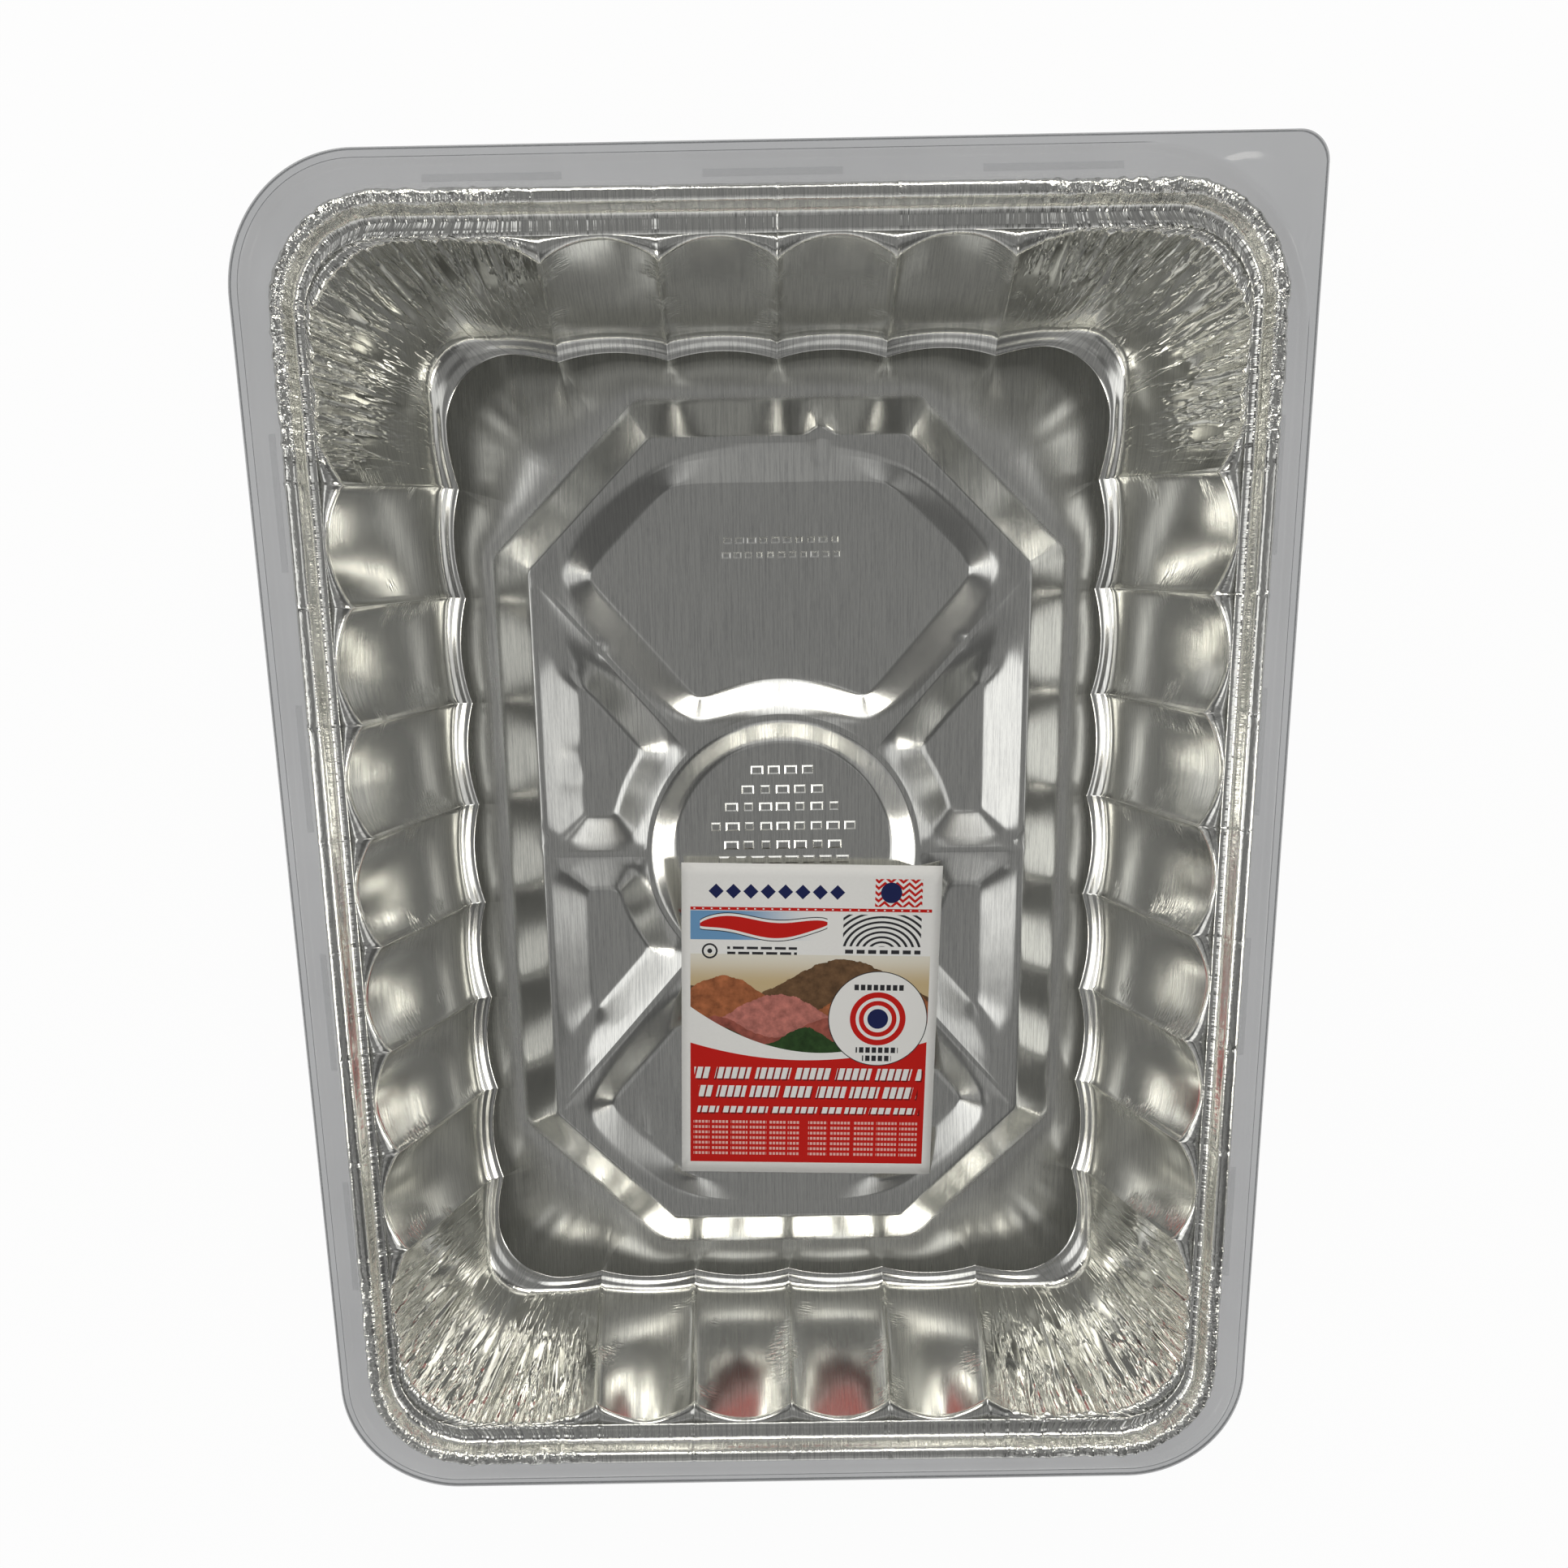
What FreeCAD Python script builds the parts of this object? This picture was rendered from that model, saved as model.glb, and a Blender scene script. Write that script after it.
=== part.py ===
"""Foil roasting pan with a rack pressed into its floor, nested in its upturned clear lid.

Millimetres. X runs across the pan, Y along it and Z up. The origin lies under the lid's
centre, on the surface that the lid's crown rests on. The pan and the card on its rack are
drawn about the pan's own centre, with Z = 0 under its floor, and are then set into the lid.
"""

import FreeCAD
import Part
import math
import os

Vector = FreeCAD.Vector

# Pan, outer sizes
RIM_LENGTH = 401.0
RIM_WIDTH = 287.0
PAN_HEIGHT = 73.0
RIM_CORNER_RADIUS = 33.0
FOIL = 0.3

# Rolled bead round the rim, the crimped band under it and the ledge
BEAD_DIAMETER = 4.8
BEAD_FACET_DEGREES = 30
BEAD_FACETS = 10
BAND_WIDTH = 3.4
LEDGE_DEPTH = 6.5
LEDGE_SIDE = 0.4
LEDGE_END = 3.4

# Fluted wall
FLUTE_COUNT_SIDE = 7
FLUTE_COUNT_END = 4
FLUTE_FACETS = 8
FLUTE_PITCH_SIDE = 35.2
FLUTE_PITCH_END = 33.8
FLUTE_BULGE = 5.6
FOOT_PITCH_SIDE = 37.1
FOOT_PITCH_END = 37.4
FOOT_BULGE = 1.8
WALL_CORNER_RADIUS = 28.0

# Foot of the wall, where it turns into the floor
FOOT_LENGTH = 355.0
FOOT_WIDTH = 237.0
FOOT_HEIGHT = 6.0
FOOT_CORNER_RADIUS = 19.0
FOOT_MID_HEIGHT = 1.8
FOOT_MID_INSET = 3.2
FLOOR_INSET = 5.5
FLOOR_BULGE = 1.2

# Gathers in the corners
GATHER_COUNT = 14
GATHER_DEPTH = 1.1
GATHER_DEPTH_FOOT = 0.3
CREASE_EASE = 18.0

# Rack pressed up from the floor: an eight-sided ridge, ribs to a ring and a sunk disc
RACK_LENGTH = 290.0
RACK_WIDTH = 176.0
RACK_CHAMFER = 44.0
RACK_HEIGHT = 6.1
RIDGE_TOP = 2.0
RIB_SLOPE = 13.0
RING_DIAMETER = 98.4
DISC_DIAMETER = 80.0
RIDGE_CORNER_RADIUS = 4.0
RIDGE_FOOT_RADIUS = 9.0
POCKET_CORNER_RADIUS = 1.5
WINDOW_CORNER_RADIUS = 4.5

# Clear lid, lying on its crown
LID_LENGTH = 420.0
LID_WIDTH = 306.0
LID_SHEET = 0.4
LID_DEPTH = 69.4
LID_LIP = 3.0
LID_SKIRT_RISE = 3.4
LID_SKIRT_RUN = 1.0
LID_CORNER_RADIUS = 38.0
LID_TAB_RADIUS = 8.5
LID_TAB_SKIRT_RADIUS = 48.0
CROWN_LENGTH = 362.0
CROWN_WIDTH = 242.0
CROWN_CORNER_RADIUS = 20.0
DOME_PAN_GAP = 0.2

# Stiffening pads in the lid's channel, and the round steps on its pull tab
PAD_WIDTH = 2.0
PAD_HEIGHT = 0.8
PAD_LENGTH = 39.0
PAD_LANE_INSET = 3.0
PAD_PITCH = 78.0
PAD_COUNT_SIDE = 4
PAD_COUNT_END = 3
TAB_STEP_INSET_X = 22.0
TAB_STEP_INSET_Y = 24.0
TAB_STEP_RADII = (17.5, 10.5)
TAB_STEP_HEIGHT = 0.8

# How the pan sits in the lid
SEAT_GAP = 0.1
PAN_SHIFT_X = 0.5
PAN_SHIFT_Y = -1.4
PAN_TURN_DEGREES = -0.2

# Label card lying on the rack
CARD_LENGTH = 122.0
CARD_WIDTH = 96.0
CARD_THICKNESS = 0.3
CARD_CENTRE_X = 8.8
CARD_CENTRE_Y = -65.5
CARD_TURN_DEGREES = -1.6

# Derived sizes
OVERCUT = 5.0
BEAD_RADIUS = BEAD_DIAMETER / 2
BEAD_AXIS_HEIGHT = PAN_HEIGHT - BEAD_RADIUS
LEDGE_HEIGHT = PAN_HEIGHT - LEDGE_DEPTH
BAND_FOOT_INSET = BEAD_DIAMETER + BAND_WIDTH
RIDGE_RUN = RIDGE_TOP / 2
RING_FOOT_RADIUS = RING_DIAMETER / 2 + RIDGE_RUN + RIB_SLOPE
CHANNEL_HEIGHT = LID_DEPTH
LIP_HEIGHT = CHANNEL_HEIGHT + LID_SKIRT_RISE
PAN_LIFT = CHANNEL_HEIGHT + SEAT_GAP - (PAN_HEIGHT - BEAD_DIAMETER)


def loft(wires):
    """Solid with straight sides between closed wires of equal edge count."""
    return Part.makeLoft(wires, True, True, False)


def rounded_rectangle(half_x, half_y, radii, z):
    """Closed wire; radii run anticlockwise from the +X +Y corner."""
    signs = ((1, 1), (-1, 1), (-1, -1), (1, -1))
    edges = []
    points = []
    for index, (sign, radius) in enumerate(zip(signs, radii)):
        centre = Vector(sign[0] * (half_x - radius), sign[1] * (half_y - radius), z)
        start = math.pi / 2 * index
        arc = [centre + Vector(math.cos(start + turn), math.sin(start + turn), 0) * radius
               for turn in (0, math.pi / 4, math.pi / 2)]
        points.append(arc)
    for index, arc in enumerate(points):
        edges.append(Part.Arc(*arc).toShape())
        edges.append(Part.makeLine(arc[2], points[(index + 1) % 4][0]))
    return Part.Wire(edges)


def tray(half_low, half_high, radii_low, radii_high, z_low, z_high):
    """Frustum between two rounded rectangles, given as (half_x, half_y)."""
    return loft([rounded_rectangle(*half_low, radii_low, z_low),
                 rounded_rectangle(*half_high, radii_high, z_high)])


def swept_rim(section, half_x, half_y, radius):
    """Carries a section, drawn in XZ against X = 0, round a rounded rectangle."""
    corner_x, corner_y = half_x - radius, half_y - radius
    up = Vector(0, 0, 1)
    solids = []
    for turn, reach, span in ((0, half_x, corner_y), (90, half_y, corner_x),
                              (180, half_x, corner_y), (270, half_y, corner_x)):
        side = section.copy()
        side.translate(Vector(reach, -span, 0))
        side = side.extrude(Vector(0, 2 * span, 0))
        side.rotate(Vector(), up, turn)
        solids.append(side)
    for turn, sign_x, sign_y in ((0, 1, 1), (90, -1, 1), (180, -1, -1), (270, 1, -1)):
        corner = section.copy()
        corner.translate(Vector(radius, 0, 0))
        corner = corner.revolve(Vector(), up, 90)
        corner.rotate(Vector(), up, turn)
        corner.translate(Vector(sign_x * corner_x, sign_y * corner_y, 0))
        solids.append(corner)
    return solids[0].multiFuse(solids[1:]).removeSplitter()


def gathered_corner(start, end, bulge, radius, depth):
    """Points from the last crease of a side (start) to the first of an end (end).

    The wall leaves each crease, swells by the bulge, follows the corner arc and is
    drawn up into gathers that go in and out by the depth.
    """
    reach_x, reach_y = start.x + bulge, end.y + bulge
    straight_side = reach_y - radius - start.y
    straight_end = reach_x - radius - end.x
    arc_length = radius * math.pi / 2
    total = straight_side + arc_length + straight_end
    count = 2 * GATHER_COUNT
    points = [start]
    for index in range(1, count):
        along = total * index / count
        if along < straight_side:
            place, normal = Vector(reach_x, start.y + along, 0), Vector(1, 0, 0)
        elif along < straight_side + arc_length:
            angle = (along - straight_side) / radius
            normal = Vector(math.cos(angle), math.sin(angle), 0)
            place = Vector(reach_x - radius, reach_y - radius, 0) + normal * radius
        else:
            over = along - straight_side - arc_length
            place, normal = Vector(reach_x - radius - over, reach_y, 0), Vector(0, 1, 0)
        near_end = min(along, total - along) / CREASE_EASE
        swell = bulge * math.sin(math.pi / 2 * min(1.0, near_end))
        gather = depth * (index % 2)
        points.append(place + normal * (swell - bulge - gather))
    return points + [end]


def flute(start, step, outward, bulge):
    """Points after the first crease of one flute, a shallow arc drawn in facets."""
    width = step.Length
    radius = (width * width / 4 + bulge * bulge) / (2 * bulge)
    half_turn = math.asin(width / 2 / radius)
    points = []
    for facet in range(1, FLUTE_FACETS):
        turn = half_turn * (2 * facet / FLUTE_FACETS - 1)
        along = 0.5 + radius * math.sin(turn) / width
        out = radius * math.cos(turn) - radius + bulge
        points.append(start + step * along + outward * out)
    return points + [start + step]


def wall_outline(half_x, half_y, pitch_side, pitch_end, bulge, radius, depth, z):
    """Closed wire of the wall at one height: flutes on the sides and gathers between."""
    crease_y = pitch_side * FLUTE_COUNT_SIDE / 2
    crease_x = pitch_end * FLUTE_COUNT_END / 2
    corner = gathered_corner(Vector(half_x, crease_y, 0), Vector(crease_x, half_y, 0),
                             bulge, radius, depth)
    corners = []
    for sign_x, sign_y in ((1, 1), (-1, 1), (-1, -1), (1, -1)):
        mirrored = [Vector(sign_x * p.x, sign_y * p.y, z) for p in corner]
        corners.append(mirrored if sign_x * sign_y > 0 else mirrored[::-1])
    outline = []
    for index, points in enumerate(corners):
        outline += points
        goal = corners[(index + 1) % 4][0]
        flutes = FLUTE_COUNT_END if index % 2 == 0 else FLUTE_COUNT_SIDE
        step = (goal - points[-1]) * (1 / flutes)
        outward = step.cross(Vector(0, 0, 1)).normalize()
        for count in range(flutes):
            outline += flute(points[-1] + step * count, step, outward, bulge)
        outline.pop()
    return Part.makePolygon(outline + outline[:1])


def wall_body(grow, base):
    """Space inside the wall, from the floor to the ledge, swollen by grow."""
    foot_x, foot_y = FOOT_WIDTH / 2 + grow, FOOT_LENGTH / 2 + grow
    top_x = RIM_WIDTH / 2 - BAND_FOOT_INSET - LEDGE_SIDE - FLUTE_BULGE + grow
    top_y = RIM_LENGTH / 2 - BAND_FOOT_INSET - LEDGE_END - FLUTE_BULGE + grow
    return loft([
        wall_outline(foot_x - FLOOR_INSET, foot_y - FLOOR_INSET, FOOT_PITCH_SIDE, FOOT_PITCH_END,
                     FLOOR_BULGE, FOOT_CORNER_RADIUS - FLOOR_INSET + grow, 0.0, base),
        wall_outline(foot_x - FLOOR_INSET + FOOT_MID_INSET, foot_y - FLOOR_INSET + FOOT_MID_INSET,
                     FOOT_PITCH_SIDE, FOOT_PITCH_END, FOOT_BULGE,
                     FOOT_CORNER_RADIUS - FLOOR_INSET + FOOT_MID_INSET + grow, 0.0,
                     base + FOOT_MID_HEIGHT),
        wall_outline(foot_x, foot_y, FOOT_PITCH_SIDE, FOOT_PITCH_END, FOOT_BULGE,
                     FOOT_CORNER_RADIUS + grow, GATHER_DEPTH_FOOT, base + FOOT_HEIGHT),
        wall_outline(top_x, top_y, FLUTE_PITCH_SIDE, FLUTE_PITCH_END, FLUTE_BULGE,
                     WALL_CORNER_RADIUS + grow, GATHER_DEPTH, LEDGE_HEIGHT)])


def band_body(grow, z_low):
    """Space inside the band between the ledge and the bead's axis, swollen by grow."""
    def half(inset):
        return RIM_WIDTH / 2 - inset + grow, RIM_LENGTH / 2 - inset + grow
    radius_low = RIM_CORNER_RADIUS - BAND_FOOT_INSET + grow
    radius_high = RIM_CORNER_RADIUS - BEAD_DIAMETER + grow
    return tray(half(BAND_FOOT_INSET), half(BEAD_DIAMETER), (radius_low,) * 4,
                (radius_high,) * 4, z_low, BEAD_AXIS_HEIGHT)


def curled_bead():
    """Hollow bead: the foil's edge rolled outward, down and back under itself in facets."""
    def roll(radius):
        turns = [math.pi - math.radians(BEAD_FACET_DEGREES * k) for k in range(BEAD_FACETS + 1)]
        return [Vector(radius * math.cos(turn) - BEAD_RADIUS, 0,
                       radius * math.sin(turn) + BEAD_AXIS_HEIGHT) for turn in turns]

    outer, inner = roll(BEAD_RADIUS), roll(BEAD_RADIUS - FOIL)
    section = Part.Face(Part.makePolygon(outer + inner[::-1] + outer[:1]))
    return swept_rim(section, RIM_WIDTH / 2, RIM_LENGTH / 2, RIM_CORNER_RADIUS)


def rounded_polygon(lines, inset, radius, z):
    """Closed wire inside lines, each (angle of its outward normal, distance), drawn in by inset.

    Its corners are rounded to the radius.
    """
    rounds = []
    for (a, c), (b, d) in zip(lines, lines[1:] + lines[:1]):
        c, d = c - inset - radius, d - inset - radius
        spread = math.sin(b - a)
        centre = Vector((c * math.sin(b) - d * math.sin(a)) / spread,
                        (d * math.cos(a) - c * math.cos(b)) / spread, z)
        turns = (a, a + ((b - a) % (2 * math.pi)) / 2, b)
        rounds.append([centre + Vector(math.cos(t), math.sin(t), 0) * radius for t in turns])
    edges = []
    for arc, following in zip(rounds, rounds[1:] + rounds[:1]):
        edges.append(Part.Arc(*arc).toShape())
        edges.append(Part.makeLine(arc[2], following[0]))
    return Part.Wire(edges)


def sloped_block(lines, foot_inset, foot_radius, top_radius, base):
    """Block as high as the rack, whose sides lean by the foot's inset."""
    return loft([rounded_polygon(lines, foot_inset, foot_radius, base),
                 rounded_polygon(lines, 0.0, top_radius, base + RACK_HEIGHT)])


def rack_block(base):
    """Raised rack as one block standing on base, with its pockets sunk to base."""
    half_x, half_y = RACK_WIDTH / 2, RACK_LENGTH / 2
    quarter = math.pi / 2
    cut_reach = (half_x + half_y - RACK_CHAMFER) / math.sqrt(2)
    reaches = (half_x, cut_reach, half_y, cut_reach) * 2
    ridge = [(quarter / 2 * turn, reach) for turn, reach in enumerate(reaches)]
    block = sloped_block(ridge, -RIB_SLOPE, RIDGE_FOOT_RADIUS, RIDGE_CORNER_RADIUS, base)
    diagonal = math.atan2(half_y - RACK_CHAMFER, half_x)
    inner_x, inner_y = half_x - RIDGE_TOP, half_y - RIDGE_TOP
    chamfer_reach = cut_reach - RIDGE_TOP

    def pocket(lines):
        return sloped_block(lines, RIB_SLOPE, WINDOW_CORNER_RADIUS, POCKET_CORNER_RADIUS, base)

    end_pocket = pocket([
        (quarter / 2, chamfer_reach), (quarter, inner_y), (quarter * 1.5, chamfer_reach),
        (quarter * 3 - diagonal, -RIDGE_RUN), (quarter * 3 + diagonal, -RIDGE_RUN)])
    side_pocket = pocket([
        (0.0, inner_x), (diagonal + quarter, -RIDGE_RUN), (quarter * 3, -RIDGE_RUN)])
    mirror_x, mirror_y = Vector(1, 0, 0), Vector(0, 1, 0)
    side_pair = [side_pocket, side_pocket.mirror(Vector(), mirror_x)]
    pockets = [end_pocket, end_pocket.mirror(Vector(), mirror_y)]
    pockets += side_pair + [p.mirror(Vector(), mirror_y) for p in side_pair]
    for hollow in pockets:
        block = block.cut(hollow)
    ring_top = RING_DIAMETER / 2
    ring = Part.makeCone(RING_FOOT_RADIUS, ring_top + RIDGE_RUN, RACK_HEIGHT, Vector(0, 0, base))
    disc = Part.makeCone(DISC_DIAMETER / 2, ring_top - RIDGE_RUN, RACK_HEIGHT, Vector(0, 0, base))
    return block.fuse(ring).cut(disc).removeSplitter()


def foil_pan():
    """One stamped sheet: rolled rim, fluted wall, gathered corners and pressed rack."""
    outside = wall_body(FOIL, 0.0).cut(rack_block(0.0))
    outside = outside.fuse(band_body(FOIL, LEDGE_HEIGHT - FOIL))
    inside = wall_body(0.0, FOIL).cut(rack_block(FOIL))
    sheet = outside.cut(inside).cut(band_body(0.0, LEDGE_HEIGHT))
    return single_solid(sheet.fuse(curled_bead()))


def single_solid(shape):
    """The one solid that a sheet is, without seams between its fused parts."""
    shape = shape.removeSplitter()
    return max(shape.Solids, key=lambda solid: solid.Volume)


def lid_halves():
    """Half sizes of the lid's dome at the channel, its channel and its lip."""
    swing = math.sin(math.radians(abs(PAN_TURN_DEGREES)))
    band_share = (BEAD_RADIUS + SEAT_GAP) / (BEAD_AXIS_HEIGHT - LEDGE_HEIGHT)
    margin = FOIL + DOME_PAN_GAP - BEAD_DIAMETER - BAND_WIDTH * band_share
    dome = (RIM_WIDTH / 2 + margin + abs(PAN_SHIFT_X) + RIM_LENGTH / 2 * swing,
            RIM_LENGTH / 2 + margin + abs(PAN_SHIFT_Y) + RIM_WIDTH / 2 * swing)
    edge = LID_LIP + LID_SKIRT_RUN
    lip = (LID_WIDTH / 2, LID_LENGTH / 2)
    return dome, (lip[0] - edge, lip[1] - edge), lip


def channel_pads(half_x, half_y):
    """Centres and sizes of the long pads that stiffen the lid's channel."""
    places = []
    for index in range(PAD_COUNT_SIDE):
        y = PAD_PITCH * (index - (PAD_COUNT_SIDE - 1) / 2)
        places += [(sign * (half_x - PAD_LANE_INSET), y, PAD_WIDTH, PAD_LENGTH) for sign in (-1, 1)]
    for index in range(PAD_COUNT_END):
        x = PAD_PITCH * (index - (PAD_COUNT_END - 1) / 2)
        places += [(x, sign * (half_y - PAD_LANE_INSET), PAD_LENGTH, PAD_WIDTH) for sign in (-1, 1)]
    return places


def pad_block(place, z, inset):
    """Block of one pad standing on z, drawn in by inset all round."""
    x, y, size_x, size_y = place
    size_x, size_y = size_x - 2 * inset, size_y - 2 * inset
    return Part.makeBox(size_x, size_y, PAD_HEIGHT, Vector(x - size_x / 2, y - size_y / 2, z))


def clear_lid():
    """One formed sheet: dome, channel for the pan's bead, skirt, lip and pull tab."""
    dome, channel, lip = lid_halves()
    crown = (CROWN_WIDTH / 2, CROWN_LENGTH / 2)
    skirt_radius = LID_CORNER_RADIUS - LID_LIP - LID_SKIRT_RUN
    skirt_radii = (LID_TAB_SKIRT_RADIUS,) + (skirt_radius,) * 3
    dome_radius = RIM_CORNER_RADIUS - BAND_FOOT_INSET

    def grown(halves, grow):
        return halves[0] + grow, halves[1] + grow

    def dome_body(grow, z_low, z_high):
        return tray(grown(crown, grow), grown(dome, grow), (CROWN_CORNER_RADIUS + grow,) * 4,
                    (dome_radius + grow,) * 4, z_low, z_high)

    def channel_body(grow, z_low, z_high):
        low, high = ([radius + grow + run for radius in skirt_radii]
                     for run in (0.0, LID_SKIRT_RUN))
        return tray(grown(channel, grow), grown(channel, LID_SKIRT_RUN + grow), low, high,
                    z_low, z_high)

    radii = (LID_TAB_RADIUS,) + (LID_CORNER_RADIUS,) * 3
    lip_body = tray(lip, lip, radii, radii, LIP_HEIGHT - LID_SHEET, LIP_HEIGHT)
    outside = dome_body(LID_SHEET, 0.0, CHANNEL_HEIGHT - LID_SHEET / 2)
    outside = outside.fuse(channel_body(LID_SHEET, CHANNEL_HEIGHT - LID_SHEET, LIP_HEIGHT))
    outside = outside.fuse(lip_body)
    tab_centre = (lip[0] - TAB_STEP_INSET_X, lip[1] - TAB_STEP_INSET_Y)
    keep_clear = channel_body(2 * LID_SHEET, CHANNEL_HEIGHT - OVERCUT, LIP_HEIGHT + OVERCUT)
    for count, radius in enumerate(TAB_STEP_RADII):
        step_top = LIP_HEIGHT + (count + 1) * TAB_STEP_HEIGHT
        centre = Vector(*tab_centre, LIP_HEIGHT - LID_SHEET)
        rise = step_top - centre.z
        under = Part.makeCylinder(radius - LID_SHEET, rise - LID_SHEET, centre).cut(keep_clear)
        outside = outside.fuse(Part.makeCylinder(radius, rise, centre).cut(keep_clear)).cut(under)
    inside = dome_body(0.0, LID_SHEET, CHANNEL_HEIGHT)
    inside = inside.fuse(channel_body(0.0, CHANNEL_HEIGHT, LIP_HEIGHT))
    sheet = outside.cut(inside)
    for place in channel_pads(*channel):
        sheet = sheet.fuse(pad_block(place, CHANNEL_HEIGHT, 0.0))
        sheet = sheet.cut(pad_block(place, CHANNEL_HEIGHT - LID_SHEET, LID_SHEET))
    return single_solid(sheet)


def label_card():
    """Thin printed card, lying on the rack's flat tops."""
    corner = Vector(-CARD_WIDTH / 2, -CARD_LENGTH / 2, FOIL + RACK_HEIGHT)
    card = Part.makeBox(CARD_WIDTH, CARD_LENGTH, CARD_THICKNESS, corner)
    card.rotate(Vector(), Vector(0, 0, 1), CARD_TURN_DEGREES)
    card.translate(Vector(CARD_CENTRE_X, CARD_CENTRE_Y, 0))
    return card


def set_in_lid(shape):
    """Turns, shifts and lifts a piece drawn about the pan's centre into the lid."""
    shape.rotate(Vector(), Vector(0, 0, 1), PAN_TURN_DEGREES)
    shape.translate(Vector(PAN_SHIFT_X, PAN_SHIFT_Y, PAN_LIFT))
    return shape


def main():
    """Writes one file for each piece."""
    os.makedirs("parts", exist_ok=True)
    pieces = {
        "foil_pan": set_in_lid(foil_pan()),
        "clear_lid": clear_lid(),
        "label_card": set_in_lid(label_card()),
    }
    for name, shape in pieces.items():
        shape.exportStep(f"parts/{name}.step")


main()
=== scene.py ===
"""Foil roasting pan in its upturned clear lid, dressed for pictures.

The pan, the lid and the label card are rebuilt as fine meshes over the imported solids,
in the same frame. Sizes are in millimetres; meshes are scaled to metres as they are made.
"""

import logging
import math
from dataclasses import dataclass, field
from enum import Enum

import bpy
import numpy as np
from mathutils import Matrix, Vector, geometry


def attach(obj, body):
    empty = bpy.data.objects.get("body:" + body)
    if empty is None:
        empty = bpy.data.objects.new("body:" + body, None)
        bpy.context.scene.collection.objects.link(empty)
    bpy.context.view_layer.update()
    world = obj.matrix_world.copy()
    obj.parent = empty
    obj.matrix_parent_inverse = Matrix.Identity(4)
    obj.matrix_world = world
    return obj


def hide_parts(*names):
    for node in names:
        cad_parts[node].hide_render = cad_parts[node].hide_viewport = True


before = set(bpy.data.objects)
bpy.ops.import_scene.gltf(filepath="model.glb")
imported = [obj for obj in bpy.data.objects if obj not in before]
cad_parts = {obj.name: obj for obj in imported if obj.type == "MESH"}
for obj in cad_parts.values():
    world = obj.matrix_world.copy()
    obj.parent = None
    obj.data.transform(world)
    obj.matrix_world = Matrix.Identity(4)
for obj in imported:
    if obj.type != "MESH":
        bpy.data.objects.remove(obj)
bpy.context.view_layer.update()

LOG = logging.getLogger("roasting_pan")
MM = 0.001
TAU = 2 * math.pi
MARKS = ("gather", "crumple", "crimp")
KNOTS = 4096
PATCH_KNOTS = (64, 256)


class Slot(Enum):
    """Material slots."""

    FOIL = "foil"
    CLEAR = "clear_plastic"
    CARD = "card"


# ---------------------------------------------------------------------------
# Meshes
# ---------------------------------------------------------------------------


def soft_floor(value: np.ndarray, ease: float) -> np.ndarray:
    """Zero below nought and the value above it, eased over the corner.

    Args:
        value: Numbers to limit.
        ease: Length over which the corner is eased.

    Returns:
        The eased numbers.
    """
    return ease * np.logaddexp(0.0, value / ease)


def wander(place: np.ndarray, pitch: float, seed: int) -> np.ndarray:
    """Smooth random line through seeded knots.

    Args:
        place: Where it is read.
        pitch: Distance between knots.
        seed: Seed of the knots.

    Returns:
        Values from -1 to 1.
    """
    knots = np.random.default_rng(seed).uniform(-1, 1, KNOTS)
    step = place / pitch
    low = np.floor(step).astype(int)
    share = step - low
    share = share * share * (3 - 2 * share)
    return knots[low % KNOTS] * (1 - share) + knots[(low + 1) % KNOTS] * share


def wander_patch(place: np.ndarray, depth: np.ndarray, pitch: float, seed: int) -> np.ndarray:
    """Smooth random surface.

    Args:
        place: First coordinate.
        depth: Second coordinate.
        pitch: Distance between knots in both.
        seed: Seed of the knots.

    Returns:
        Values from -1 to 1.
    """
    knots = np.random.default_rng(seed).uniform(-1, 1, PATCH_KNOTS)
    x, y = place / pitch, depth / pitch
    i, j = np.floor(x).astype(int), np.floor(y).astype(int)
    s, t = x - i, y - j
    s, t = s * s * (3 - 2 * s), t * t * (3 - 2 * t)
    near, far = j % PATCH_KNOTS[0], (j + 1) % PATCH_KNOTS[0]
    left, right = i % PATCH_KNOTS[1], (i + 1) % PATCH_KNOTS[1]
    low = knots[near, left] * (1 - s) + knots[near, right] * s
    high = knots[far, left] * (1 - s) + knots[far, right] * s
    return low * (1 - t) + high * t


def dress(piece: bpy.types.Object, finish: bpy.types.Material, slot: Slot, *nodes: str) -> None:
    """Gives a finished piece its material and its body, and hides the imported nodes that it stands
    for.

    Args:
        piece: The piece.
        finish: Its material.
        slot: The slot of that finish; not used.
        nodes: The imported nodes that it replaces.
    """
    piece.data.materials.clear()
    piece.data.materials.append(finish)
    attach(piece, "root")
    if nodes:
        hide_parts(*nodes)


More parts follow.
